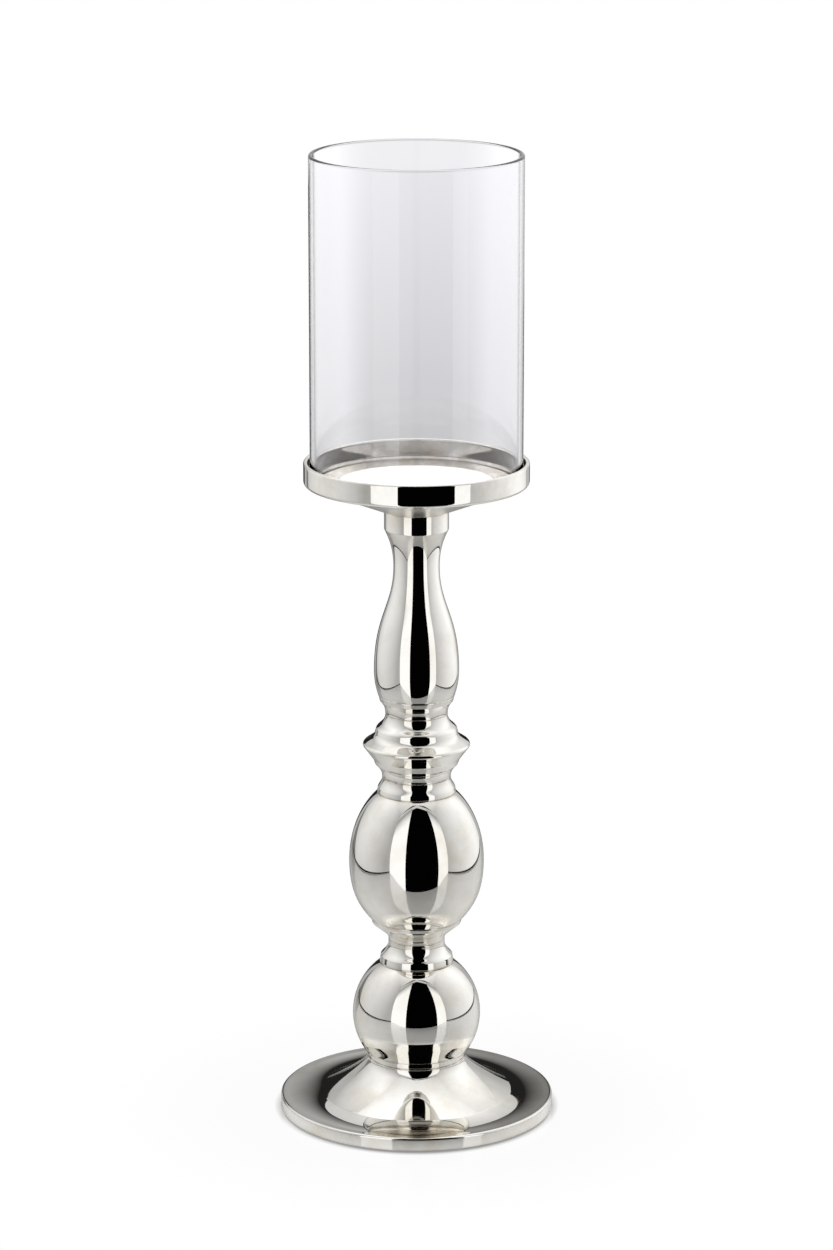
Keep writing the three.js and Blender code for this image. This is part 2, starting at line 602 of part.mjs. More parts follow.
// Stem, stacked upwards from the foot
const stem = [
  [footRing(), FOOT_RING_HEIGHT],
  [lowerBall(), ballHeight],
  [lowerKnop(), knopHeight],
  [ovoidFoot(), ovoidFootHeight],
  [ovoidBody(), ovoidHeight],
  [ovoidCollar(), ovoidCollarHeight],
  [flangeKnop(), flangeHeight + bellHeight],
  [vaseRing(), vaseRingHeight],
  [vaseColumn(), vaseHeight],
];
let stemTop = footTop;
for (const [piece, height] of stem) {
  place(piece, stemTop + SEAM);
  stemTop += SEAM + height;
}

// Plate, its boss and the rod that ties the stem to it
const plateBottom = stemTop + SEAM;
const bossTop = plateBottom - SEAM;
const rodBottom = nutBottom - ROD_TAIL;
const rodTop = bossTop - bossHeight + ROD_BOSS_ENGAGEMENT;
place(plateBoss(), bossTop);
place(tieRod(rodTop - rodBottom), rodBottom);
place(candlePlate(), plateBottom);
place(glassCylinder(), plateBottom + ledgeTop + SEAM);

export default lantern;
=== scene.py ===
import math

import bpy
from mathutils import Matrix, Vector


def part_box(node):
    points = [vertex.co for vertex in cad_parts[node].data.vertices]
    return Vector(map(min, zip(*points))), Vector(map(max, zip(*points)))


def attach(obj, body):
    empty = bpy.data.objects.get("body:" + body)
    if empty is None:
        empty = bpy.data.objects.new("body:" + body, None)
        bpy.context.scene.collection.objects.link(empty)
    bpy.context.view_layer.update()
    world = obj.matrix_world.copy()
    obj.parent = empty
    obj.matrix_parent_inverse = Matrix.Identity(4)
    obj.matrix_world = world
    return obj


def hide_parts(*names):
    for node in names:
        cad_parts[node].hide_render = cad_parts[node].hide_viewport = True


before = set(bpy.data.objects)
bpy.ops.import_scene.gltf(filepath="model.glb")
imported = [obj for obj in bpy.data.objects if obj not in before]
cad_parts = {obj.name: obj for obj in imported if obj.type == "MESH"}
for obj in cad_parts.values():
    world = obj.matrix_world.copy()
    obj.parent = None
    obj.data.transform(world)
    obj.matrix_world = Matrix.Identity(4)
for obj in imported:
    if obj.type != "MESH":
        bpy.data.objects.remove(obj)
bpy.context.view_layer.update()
bpy.context.scene.view_settings.view_transform = "Standard"


# Camera
# It stands 2.5 m in front of the lantern, above the glass, and looks down at the stem. At this place
# and with this long lens the rims of the foot, plate and glass show as the photograph's ellipses.
CAMERA_DISTANCE = 2.463
CAMERA_HEIGHT = 0.9285
CAMERA_TILT = 75.43
LENS = 129.2

camera = bpy.data.objects.new("camera", bpy.data.cameras.new("camera"))
camera.data.lens = LENS
camera.location = (0, -CAMERA_DISTANCE, CAMERA_HEIGHT)
camera.rotation_euler = (math.radians(CAMERA_TILT), 0, 0)
bpy.context.scene.collection.objects.link(camera)
bpy.context.scene.camera = camera


# Background
# White paper all round. The world stands for it: bleached white to the camera and to rays from the metal
# and the glass, and a soft grey as a light. Through the glass a ring of paper is seen, which glows with
# painted light and shade: painted grey shade low in the middle, and towards its top painted light behind
# the lantern and painted shade in front of it.
PAPER_WHITE = (1, 1, 1, 1)
PAPER_AS_LIGHT = (0.6, 0.6, 0.6, 1)
PAPER_HEIGHTS = (0.15, 0.40)
PAPER_MIDDLE, PAPER_OUTER = (0.61, 0.9), (0.84, 1.06)
PAPER_MIDDLE_WIDTH = (0.04, 0.1)
PAPER_HEAD_HEIGHTS, PAPER_HEAD = (0.42, 1.2), 0.55
PAPER_HEAD_TURN = 0.3
PAPER_RADIUS, PAPER_BOTTOM, PAPER_TOP = 1.0, -1.0, 2.2
PAPER_SIDES = 48
# Sockets of a Mix node that is set to colours
COLOUR_A, COLOUR_B, COLOUR_RESULT = 6, 7, 2


def node(tree, kind, inputs=None, **settings):
    """Adds a node. An input is a value, or the output socket that feeds it."""
    made = tree.nodes.new(kind)
    for name, value in settings.items():
        setattr(made, name, value)
    for name, value in (inputs or {}).items():
        if isinstance(value, bpy.types.NodeSocket):
            tree.links.new(value, made.inputs[name])
        else:
            made.inputs[name].default_value = value
    return made


def calculated(tree, operation, first, second=0.0):
    return node(tree, "ShaderNodeMath", {0: first, 1: second}, operation=operation).outputs[0]


def mixed(tree, factor, first, second):
    inputs = {0: factor, COLOUR_A: first, COLOUR_B: second}
    return node(tree, "ShaderNodeMix", inputs, data_type="RGBA").outputs[COLOUR_RESULT]


def ramped(tree, value, start, end, low=0.0, high=1.0, curve="LINEAR"):
    """The value's place between start and end, as a number from low to high."""
    inputs = {"Value": value, 1: start, 2: end, 3: low, 4: high}
    return node(tree, "ShaderNodeMapRange", inputs, interpolation_type=curve).outputs[0]


def white_world():
    world = bpy.data.worlds.new("white_paper")
    world.use_nodes = True
    tree = world.node_tree
    tree.nodes.clear()
    path = node(tree, "ShaderNodeLightPath").outputs
    mirrored = calculated(tree, "MAXIMUM", path["Is Glossy Ray"], path["Is Transmission Ray"])
    bleached = calculated(tree, "MAXIMUM", path["Is Camera Ray"], mirrored)
    colour = mixed(tree, bleached, PAPER_AS_LIGHT, PAPER_WHITE)
    light = node(tree, "ShaderNodeBackground", {"Color": colour})
    node(tree, "ShaderNodeOutputWorld", {"Surface": light.outputs[0]})
    return world


def finish_nodes(name):
    """A new material with an empty node tree."""
    material = bpy.data.materials.new(name)
    material.use_nodes = True
    material.node_tree.nodes.clear()
    return material, material.node_tree


def object_place(tree):
    return node(tree, "ShaderNodeTexCoord").outputs["Object"]


def lit(tree, colour):
    """Ends a material in a glow of this colour."""
    glow = node(tree, "ShaderNodeEmission", {"Color": colour, "Strength": 1.0})
    node(tree, "ShaderNodeOutputMaterial", {"Surface": glow.outputs[0]})


def paper_glow():
    material, tree = finish_nodes("paper_glow")
    place = node(tree, "ShaderNodeSeparateXYZ", {0: object_place(tree)}).outputs
    # Painted shade: the glow grows darker towards the bottom, most of all in the middle
    aside = calculated(tree, "ABSOLUTE", place["X"])
    outward = ramped(tree, aside, *PAPER_MIDDLE_WIDTH, curve="SMOOTHSTEP")
    middle = ramped(tree, place["Z"], *PAPER_HEIGHTS, *PAPER_MIDDLE)
    outer = ramped(tree, place["Z"], *PAPER_HEIGHTS, *PAPER_OUTER)
    # Painted light behind the lantern and painted shade in front of it, towards the top
    head = ramped(tree, place["Z"], *PAPER_HEAD_HEIGHTS, high=PAPER_HEAD)
    behind = ramped(tree, place["Y"], -PAPER_HEAD_TURN, PAPER_HEAD_TURN, -1.0, 1.0)
    gain = calculated(tree, "MULTIPLY", head, behind)
    lit(tree, calculated(tree, "ADD", mixed(tree, outward, middle, outer), gain))
    return material


def panel(name, corners, faces, material):
    """A stage panel of flat faces through these corners."""
    mesh = bpy.data.meshes.new(name)
    mesh.from_pydata(corners, [], faces)
    mesh.materials.append(material)
    made = bpy.data.objects.new(name, mesh)
    bpy.context.scene.collection.objects.link(made)
    return made


bpy.context.scene.world = white_world()
paper_ring = []
for i in range(PAPER_SIDES):
    turn = 2 * math.pi * i / PAPER_SIDES
    x, y = PAPER_RADIUS * math.cos(turn), PAPER_RADIUS * math.sin(turn)
    paper_ring += [(x, y, PAPER_BOTTOM), (x, y, PAPER_TOP)]
paper_count = len(paper_ring)
paper_faces = [
    (i, (i + 2) % paper_count, (i + 3) % paper_count, i + 1) for i in range(0, paper_count, 2)
]
paper = panel("paper", paper_ring, paper_faces, paper_glow())
paper.visible_camera = False
paper.visible_diffuse = False
paper.visible_glossy = False


# Table
# A sheet of glossy pale grey laminate that fills the light tent up to its front flaps. The camera sees
# it bleached, with a trace of the lantern's shadow near the foot. The metal shows it with painted shade,
# a darker grey away from the lantern, and with a painted glow of light close to the foot.
TENT_LEFT, TENT_RIGHT = -0.50, 0.52
LEFT_FRONT, RIGHT_FRONT = -0.50, -0.385
TENT_BACK, TENT_TOP = 0.75, 1.0
TABLE_FRONT = -0.29
LEFT_FLAP_FOOT, RIGHT_FLAP_FOOT = -0.094, 0.207
TABLE_DROP = 0.0002
TABLE_GREY, TABLE_FAR_SHADED_GREY = (0.84, 0.84, 0.83, 1), (0.6, 0.6, 0.6, 1)
TABLE_SHADE_FADE = (0.18, 0.65)
TABLE_GLOSS = 0.3
TABLE_ROUGHNESS = 0.1
SHADOW_REACH, BLEACH = (0.085, 0.2), (0.95, 1.0)
CONTACT_REACH, CONTACT_BLEACH = (0.0785, 0.083), 0.3
FOOT_GLOW, FOOT_GLOW_REACH = 0.35, (0.086, 0.1)


def seen_plainly(tree):
    """1 for the rays that show the table itself, to the camera or through the glass."""
    path = node(tree, "ShaderNodeLightPath").outputs
    return calculated(tree, "MAXIMUM", path["Is Camera Ray"], path["Is Transmission Ray"])


def table_laminate():
    material, tree = finish_nodes("table_laminate")
    apart = node(tree, "ShaderNodeVectorMath", {0: object_place(tree)}, operation="LENGTH")
    distance = apart.outputs["Value"]
    contact = ramped(tree, distance, *CONTACT_REACH, low=CONTACT_BLEACH)
    bleach = calculated(
        tree, "MULTIPLY", contact, ramped(tree, distance, *SHADOW_REACH, *BLEACH, curve="SMOOTHSTEP")
    )
    # Painted shade: the laminate's grey darkens away from the lantern
    laminate = node(
        tree,
        "ShaderNodeBsdfPrincipled",
        {
            "Base Color": mixed(tree, ramped(tree, distance, *TABLE_SHADE_FADE), TABLE_GREY, TABLE_FAR_SHADED_GREY),
            "Metallic": TABLE_GLOSS,
            "Roughness": TABLE_ROUGHNESS,
        },
    )
    # Painted light: a white glow on the laminate close to the foot, which only the metal sees
    near_foot = ramped(tree, distance, *FOOT_GLOW_REACH, low=FOOT_GLOW, high=0.0)
    mirrored = node(tree, "ShaderNodeLightPath").outputs["Is Glossy Ray"]
    glow = calculated(tree, "MULTIPLY", calculated(tree, "MULTIPLY", near_foot, contact), mirrored)
    white = node(tree, "ShaderNodeEmission", {"Color": PAPER_WHITE, "Strength": 1.0})
    plain = calculated(tree, "MULTIPLY", bleach, seen_plainly(tree))
    factor = calculated(tree, "ADD", plain, glow)
    shaders = {0: factor, 1: laminate.outputs[0], 2: white.outputs[0]}
    surface = node(tree, "ShaderNodeMixShader", shaders)
    node(tree, "ShaderNodeOutputMaterial", {"Surface": surface.outputs[0]})
    return material


table_edge = [
    (TENT_LEFT, LEFT_FRONT),
    (LEFT_FLAP_FOOT, TABLE_FRONT),
    (RIGHT_FLAP_FOOT, TABLE_FRONT),
    (TENT_RIGHT, RIGHT_FRONT),
    (TENT_RIGHT, TENT_BACK),
    (TENT_LEFT, TENT_BACK),
]
table_corners = [(x, y, -TABLE_DROP) for x, y in table_edge]
panel("table", table_corners, [range(len(table_corners))], table_laminate())


# Light tent
# Walls of white cloth that glow with the lamps behind them, open at the front between two slanted flaps
# and dark low at the back. It lights the lantern evenly and gives the polished metal what it shows.
SHADED_GAP_HEIGHT = 0.012
FLAP_TOP = 0.83
LEFT_FLAP_HEAD, RIGHT_FLAP_HEAD = -0.08, 0.21
ROOM_REACH = 1.6
ROOM_DROP = -0.4
LEFT_LIGHT, LEFT_LAMP, LEFT_REACH = (0.42, 1.1), (TENT_LEFT, 0.18, 0.85), 0.66
RIGHT_LIGHT, RIGHT_LAMP, RIGHT_REACH = (0.5, 1.15), (TENT_RIGHT, 0.35, 0.5), 0.75
WALL_STRETCH = (1.0, 1.0, 0.5)
FLAP_LIGHT, FLAP_FADE = (1.05, 0.36), (0.45, 0.72)
VALANCE_LIGHT = 0.6
BACK_LIGHT, BACK_LAMP, BACK_REACH = (0.45, 1.12), (0.25, TENT_BACK, TENT_TOP), 0.9
ROOF_LIGHT, ROOF_LAMP, ROOF_REACH = (0.45, 1.45), (0, 0.4, TENT_TOP), 1.05
OPENING_LIGHT, OPENING_LAMP, OPENING_REACH = (0.015, 0.48), (-0.03, TENT_BACK, 0.28), 0.17
OPENING_GAP = 0.005
OPENING = [(-0.27, 0), (0.21, 0), (0.28, 0.24), (0.24, 0.33), (0.1, 0.37), (-0.1, 0.42), (-0.43, 0.43)]
CORNER_LIGHT, CORNER_START, CORNER_TOP = 0.2, 0.35, 0.33
ROUND = (1.0, 1.0, 1.0)
DARK = 0.0005


def even_cloth(name, amount):
    """Lit cloth of one even level, or painted darkness when the level is near nothing."""
    material, tree = finish_nodes(name)
    lit(tree, (amount, amount, amount, 1))
    return material


def lamp_cloth(name, light, lamp, reach, stretch=ROUND):
    """Lit cloth that brightens from the first level to the second towards a lamp behind it."""
    material, tree = finish_nodes(name)
    offset = node(tree, "ShaderNodeVectorMath", {0: object_place(tree), 1: lamp}, operation="SUBTRACT")
    pool = node(tree, "ShaderNodeVectorMath", {0: offset.outputs[0], 1: stretch}, operation="MULTIPLY")
    apart = node(tree, "ShaderNodeVectorMath", {0: pool.outputs[0]}, operation="LENGTH")
    lit(tree, ramped(tree, apart.outputs["Value"], reach, 0.0, *light))
    return material


def hanging_cloth(name, light, fade):
    """Lit cloth that goes from the first level to the second between two heights."""
    material, tree = finish_nodes(name)
    height = node(tree, "ShaderNodeSeparateXYZ", {0: object_place(tree)}).outputs["Z"]
    lit(tree, ramped(tree, height, *fade, *light))
    return material


def lying(x0, y0, x1, y1, height):
    """Corners of a level panel."""
    return [(x0, y0, height), (x1, y0, height), (x1, y1, height), (x0, y1, height)]


def upright(x0, y0, x1, y1, bottom, top):
    """Corners of an upright panel that stands on the line from (x0, y0) to (x1, y1)."""
    return [(x0, y0, bottom), (x1, y1, bottom), (x1, y1, top), (x0, y0, top)]


def flap(side, front, foot, head):
    """Corners of a front flap, from the side wall's end to the table's front edge."""
    return [
        (side, front, 0),
        (foot, TABLE_FRONT, 0),
        (head, TABLE_FRONT, FLAP_TOP),
        (side, front, FLAP_TOP),
    ]


def dim_corner(x):
    """Corners of the dim triangle low at the back end of a side wall."""
    return [(x, CORNER_START, SHADED_GAP_HEIGHT), (x, TENT_BACK, SHADED_GAP_HEIGHT), (x, TENT_BACK, CORNER_TOP)]


left_cloth = lamp_cloth("left_cloth", LEFT_LIGHT, LEFT_LAMP, LEFT_REACH, WALL_STRETCH)
right_cloth = lamp_cloth("right_cloth", RIGHT_LIGHT, RIGHT_LAMP, RIGHT_REACH, WALL_STRETCH)
roof_cloth = lamp_cloth("roof_cloth", ROOF_LIGHT, ROOF_LAMP, ROOF_REACH)
back_cloth = lamp_cloth("back_cloth", BACK_LIGHT, BACK_LAMP, BACK_REACH)
opening_glow = lamp_cloth("opening_glow", OPENING_LIGHT, OPENING_LAMP, OPENING_REACH)
flap_cloth = hanging_cloth("flap_cloth", FLAP_LIGHT, FLAP_FADE)
valance_cloth = even_cloth("valance_cloth", VALANCE_LIGHT)
corner_cloth = even_cloth("corner_cloth", CORNER_LIGHT)
painted_darkness = even_cloth("painted_darkness", DARK)

left_valance = upright(TENT_LEFT, LEFT_FRONT, 0, TABLE_FRONT, FLAP_TOP, TENT_TOP)
right_valance = upright(0, TABLE_FRONT, TENT_RIGHT, RIGHT_FRONT, FLAP_TOP, TENT_TOP)
tent = [
    ("left_flap", flap(TENT_LEFT, LEFT_FRONT, LEFT_FLAP_FOOT, LEFT_FLAP_HEAD), flap_cloth),
    ("right_flap", flap(TENT_RIGHT, RIGHT_FRONT, RIGHT_FLAP_FOOT, RIGHT_FLAP_HEAD), flap_cloth),
    ("left_valance", left_valance, valance_cloth),
    ("right_valance", right_valance, valance_cloth),
    ("left_wall", upright(TENT_LEFT, LEFT_FRONT, TENT_LEFT, TENT_BACK, SHADED_GAP_HEIGHT, TENT_TOP), left_cloth),
    ("right_wall", upright(TENT_RIGHT, RIGHT_FRONT, TENT_RIGHT, TENT_BACK, SHADED_GAP_HEIGHT, TENT_TOP), right_cloth),
    # Painted shade: dark strips along the foot of the side walls, for the shaded gap between table and
    # walls
    ("left_shaded_gap", upright(TENT_LEFT, LEFT_FRONT, TENT_LEFT, TENT_BACK, 0, SHADED_GAP_HEIGHT), painted_darkness),
    ("right_shaded_gap", upright(TENT_RIGHT, RIGHT_FRONT, TENT_RIGHT, TENT_BACK, 0, SHADED_GAP_HEIGHT), painted_darkness),
    ("left_corner", dim_corner(TENT_LEFT + OPENING_GAP), corner_cloth),
    ("roof", [(x, y, TENT_TOP) for x, y in table_edge], roof_cloth),
    ("back_wall", upright(TENT_LEFT, TENT_BACK, TENT_RIGHT, TENT_BACK, 0, TENT_TOP), back_cloth),
    ("back_opening", [(x, TENT_BACK - OPENING_GAP, z) for x, z in OPENING], opening_glow),
    # Painted darkness: black sheets for the unlit room in front of the tent, which the metal shows
    ("room", upright(-ROOM_REACH, -ROOM_REACH, ROOM_REACH, -ROOM_REACH, ROOM_DROP, ROOM_REACH), painted_darkness),
    ("room_floor", lying(-ROOM_REACH, -ROOM_REACH, ROOM_REACH, TABLE_FRONT, ROOM_DROP), painted_darkness),
    ("room_ceiling", lying(-ROOM_REACH, -ROOM_REACH, ROOM_REACH, TABLE_FRONT, ROOM_REACH), painted_darkness),
]
for name, corners, cloth in tent:
    cloth_panel = panel(name, corners, [range(len(corners))], cloth)
    cloth_panel.visible_camera = False
    cloth_panel.visible_transmission = False


# Foot
# A spun disc with an upright rim band, a narrow lip, a shallow trough and a hollow cone that rises to
# the stem. Brass sheet, silver plated and polished; the tie rod draws the stem down on it.
# The sizes of the pieces are in millimetres, and all other sizes are in metres
MM = 0.001
BORE = 4.4
SPIGOT, SPIGOT_HEIGHT = 8.0, 2.4
SOCKET, SOCKET_DEPTH = 8.3, 2.6
FOOT_RADIUS, FOOT_TOP_RADIUS, FOOT_HEIGHT = 78.9, 28.0, 30.1
FOOT_WALL, FOOT_WEB = 1.5, 2.5
RIM_HEIGHT, RIM_ROUND, RIM_FOOT_ROUND = 7.9, 1.4, 0.8
LIP_END, TROUGH_BENDS = (74.0, 7.7), [(68.0, 7.45), (61.5, 7.75)]
CONE_FOOT, CONE_BEND, CONE_HEAD = (55.1, 9.35), (39.9, 16.94), (30.6, 25.5)
NECK_BEND = (FOOT_TOP_RADIUS, 27.9)
UNDER_CONE_IN, UNDER_CONE_DROP = 0.8, 1.3
EDGE_EASE, EASE_SHARE, EASE_STEPS = 0.3, 0.4, 6
SHARP_TURN = math.radians(22)
OUTLINE_STEP = 0.8
STEM_SEGMENTS = 192
WIDE_SEGMENTS = 256
SWEEP_RADIUS = 1.0
POLE_MERGE = 1e-7
SEAM_REACH = 1.0
RING_DETAIL = 2.0
CLOUD_DETAIL, CLOUD_ROUGHNESS = 5.0, 0.6


def arc(radius, height, reach, rise, start, end, steps=32):
    """Points of an elliptical arc about (radius, height), between two angles in degrees."""
    angles = [math.radians(start + (end - start) * i / steps) for i in range(steps + 1)]
    return [(radius + reach * math.cos(a), height + rise * math.sin(a)) for a in angles]


def rounded(radius, height, size, start, end, steps):
    """Points of a round of this size about (radius, height), between two angles in degrees."""
    return arc(radius, height, size, size, start, end, steps=steps)


def bend(*controls, steps=24):
    """Points of the Bezier curve with these controls, from the first to the last."""
    points = []
    for i in range(steps + 1):
        t = i / steps
        layer = list(controls)
        while len(layer) > 1:
            layer = [tuple((1 - t) * p + t * q for p, q in zip(a, b)) for a, b in zip(layer, layer[1:])]
        points.append(layer[0])
    return points


def between(start, end, share):
    return tuple(p + share * (q - p) for p, q in zip(start, end))


def eased(outline, ease):
    """The outline with each sharp corner rounded off, as polishing leaves it."""
    points = [outline[0]]
    for before, corner, after in zip(outline, outline[1:], outline[2:]):
        back, ahead = math.dist(before, corner), math.dist(corner, after)
        if back == 0 or ahead == 0:
            continue
        heading = math.atan2(corner[1] - before[1], corner[0] - before[0])
        leaving = math.atan2(after[1] - corner[1], after[0] - corner[0])
        turn = abs((leaving - heading + math.pi) % (2 * math.pi) - math.pi)
        if turn < SHARP_TURN:
            points.append(corner)
            continue
        reach = min(ease, EASE_SHARE * back, EASE_SHARE * ahead)
        enter = between(corner, before, reach / back)
        leave = between(corner, after, reach / ahead)
        points += bend(enter, corner, leave, steps=EASE_STEPS)
    return points + [outline[-1]]


def spaced(outline, step):
    """The outline with extra points on its long straight stretches, so that they shade as flat."""
    points = [outline[0]]
    for start, end in zip(outline, outline[1:]):
        count = max(1, math.ceil(math.dist(start, end) / step))
        points += [between(start, end, (i + 1) / count) for i in range(count)]
    return points


def seam_nearness(points, seams, reach):
    """How near each point is to a seam, measured along the outline."""
    run = [0.0]
    for start, end in zip(points, points[1:]):
        run.append(run[-1] + math.dist(start, end))
    nearest = [min(range(len(points)), key=lambda i: math.dist(points[i], seam)) for seam in seams]
    return [max(math.exp(-abs(here - run[i]) / reach) for i in nearest) for here in run]


def turning_tree():
    """Geometry nodes that turn an outline about the axis and close it at the poles.

    The sweep follows a circle, so an outline's radius is counted from that circle and not from the axis.
    """
    tree = bpy.data.node_groups.new("turned_about_the_axis", "GeometryNodeTree")
    tree.interface.new_socket("Outline", in_out="INPUT", socket_type="NodeSocketGeometry")
    segments = tree.interface.new_socket("Segments", in_out="INPUT", socket_type="NodeSocketInt")
    finish = tree.interface.new_socket("Finish", in_out="INPUT", socket_type="NodeSocketMaterial")
    tree.interface.new_socket("Piece", in_out="OUTPUT", socket_type="NodeSocketGeometry")
    given = node(tree, "NodeGroupInput").outputs
    outline = node(tree, "GeometryNodeMeshToCurve", {"Mesh": given["Outline"]})
    path = {"Resolution": given["Segments"], "Radius": SWEEP_RADIUS}
    circle = node(tree, "GeometryNodeCurvePrimitiveCircle", path)
    flat = node(tree, "GeometryNodeSetCurveNormal", {"Curve": circle.outputs[0]}, mode="Z_UP")
    swept = node(
        tree, "GeometryNodeCurveToMesh", {"Curve": flat.outputs[0], "Profile Curve": outline.outputs[0]}
    )
    merge = {"Geometry": swept.outputs[0], "Distance": POLE_MERGE}
    closed = node(tree, "GeometryNodeMergeByDistance", merge)
    smooth = node(tree, "GeometryNodeSetShadeSmooth", {"Geometry": closed.outputs[0]})
    real = node(tree, "GeometryNodeRealizeInstances", {"Geometry": smooth.outputs[0]})
    finished = node(
        tree, "GeometryNodeSetMaterial", {"Geometry": real.outputs[0], "Material": given["Finish"]}
    )
    node(tree, "NodeGroupOutput", {"Piece": finished.outputs[0]})
    return tree, segments.identifier, finish.identifier


TURNING, SEGMENTS_INPUT, FINISH_INPUT = turning_tree()


def turned(
    name,
    stands_for,
    outside,
    inside,
    finish,
    segments=STEM_SEGMENTS,
    step=OUTLINE_STEP,
    seams=(),
    reach=SEAM_REACH,
):
    """A piece turned from its outline in mm, drawn up the outside and back down the inside.

    Tarnish gathers at the seams: the ends of the outside, unless other places are given.
    """
    points = spaced(eased(outside, EDGE_EASE), step) + inside
    seam = seam_nearness(points, seams or (outside[0], outside[-1]), reach)
    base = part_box(stands_for)[0].z
    count = len(points)
    edges = [(i, i + 1) for i in range(count - 1)]
    if points[0][0] > 0:
        edges.append((count - 1, 0))
    mesh = bpy.data.meshes.new(name)
    mesh.from_pydata([(r * MM - SWEEP_RADIUS, -base - z * MM, 0) for r, z in points], edges, [])
    mesh.attributes.new("seam", "FLOAT", "POINT").data.foreach_set("value", seam)
    piece = bpy.data.objects.new(name, mesh)
    bpy.context.scene.collection.objects.link(piece)
    turning = piece.modifiers.new("turning", "NODES")
    turning.node_group = TURNING
    turning[SEGMENTS_INPUT] = segments
    turning[FINISH_INPUT] = finish
    evaluated = piece.evaluated_get(bpy.context.evaluated_depsgraph_get())
    made = bpy.data.meshes.new_from_object(evaluated)
    piece.modifiers.clear()
    piece.data = made
    # The sweep leaves the faces turned inwards
    made.flip_normals()
    return piece


def fitted(piece, body, stands_for):
    """Puts a piece in the frame: the body that it rides on and the solid it stands for."""
    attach(piece, body)
    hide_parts(stands_for)
    return piece


def spigot_top(height):
    """Top of a stem piece inside its seat: a spigot round the rod's bore."""
    tip = height + SPIGOT_HEIGHT
    return [(SPIGOT, height), (SPIGOT, tip), (BORE, tip)]


SOCKET_BELOW = [(BORE, SOCKET_DEPTH), (SOCKET, SOCKET_DEPTH), (SOCKET, 0)]


def turning_marks():
    """Shader group: rings left by turning and polishing, which run round the axis."""
    tree = bpy.data.node_groups.new("turning_marks", "ShaderNodeTree")
    tree.interface.new_socket("Rings Per Metre", in_out="INPUT", socket_type="NodeSocketFloat")
    tree.interface.new_socket("Rings", in_out="OUTPUT", socket_type="NodeSocketFloat")
    given = node(tree, "NodeGroupInput").outputs
    parts = node(tree, "ShaderNodeSeparateXYZ", {0: object_place(tree)}).outputs
    across = node(tree, "ShaderNodeCombineXYZ", {0: parts["X"], 1: parts["Y"]})
    radius = node(tree, "ShaderNodeVectorMath", {0: across.outputs[0]}, operation="LENGTH")
    ring = node(tree, "ShaderNodeCombineXYZ", {0: radius.outputs["Value"], 1: parts["Z"]})
    rings = node(
        tree,
        "ShaderNodeTexNoise",
        {"Vector": ring.outputs[0], "Scale": given["Rings Per Metre"], "Detail": RING_DETAIL},
        noise_dimensions="2D",
    )
    node(tree, "NodeGroupOutput", {"Rings": rings.outputs[0]})
    return tree


def handling_marks():
    """Shader group: soft cloudy patches that cloths and fingers leave on a bright surface."""
    tree = bpy.data.node_groups.new("handling_marks", "ShaderNodeTree")
    tree.interface.new_socket("Patches Per Metre", in_out="INPUT", socket_type="NodeSocketFloat")
    tree.interface.new_socket("Cloud", in_out="OUTPUT", socket_type="NodeSocketFloat")
    given = node(tree, "NodeGroupInput").outputs
    cloud = node(
        tree,
        "ShaderNodeTexNoise",
        {
            "Vector": object_place(tree),
            "Scale": given["Patches Per Metre"],
            "Detail": CLOUD_DETAIL,
            "Roughness": CLOUD_ROUGHNESS,
        },
    )
    node(tree, "NodeGroupOutput", {"Cloud": cloud.outputs[0]})
    return tree


TURNING_MARKS = turning_marks()
HANDLING_MARKS = handling_marks()
SILVER, SILVER_DULL = (0.96, 0.945, 0.905, 1), (0.85, 0.81, 0.73, 1)
SILVER_DULL_CLOUD = (0.45, 0.7)
TARNISH = (0.42, 0.33, 0.22, 1)
TARNISH_STRENGTH = 0.6
TARNISH_PATCHES, TARNISH_CLOUD = 160.0, (0.3, 0.65)
TARNISH_ROUGHNESS = 0.2
SILVER_ROUGHNESS, SILVER_HAZE_CLOUD = (0.012, 0.055), (0.35, 0.75)
UNDERSIDE_TURN, UNDERSIDE_ROUGHNESS = (-0.92, -0.86), 0.32
SILVER_PATCHES = 45.0
SILVER_RINGS = 180.0
SILVER_RING_DEPTH = 0.000003


def placed_group(tree, group, **inputs):
    made = node(tree, "ShaderNodeGroup", node_tree=group)
    for name, value in inputs.items():
        made.inputs[name.replace("_", " ")].default_value = value
    return made.outputs[0]


def relief(tree, height, depth):
    """The normal of a surface raised by this height, from 0 to 1, times a depth in metres."""
    return node(tree, "ShaderNodeBump", {"Height": height, "Strength": 1.0, "Distance": depth}).outputs[0]


def surfaced(tree, inputs):
    """Ends a material in one Principled surface."""
    surface = node(tree, "ShaderNodeBsdfPrincipled", inputs)
    return node(tree, "ShaderNodeOutputMaterial", {"Surface": surface.outputs[0]})


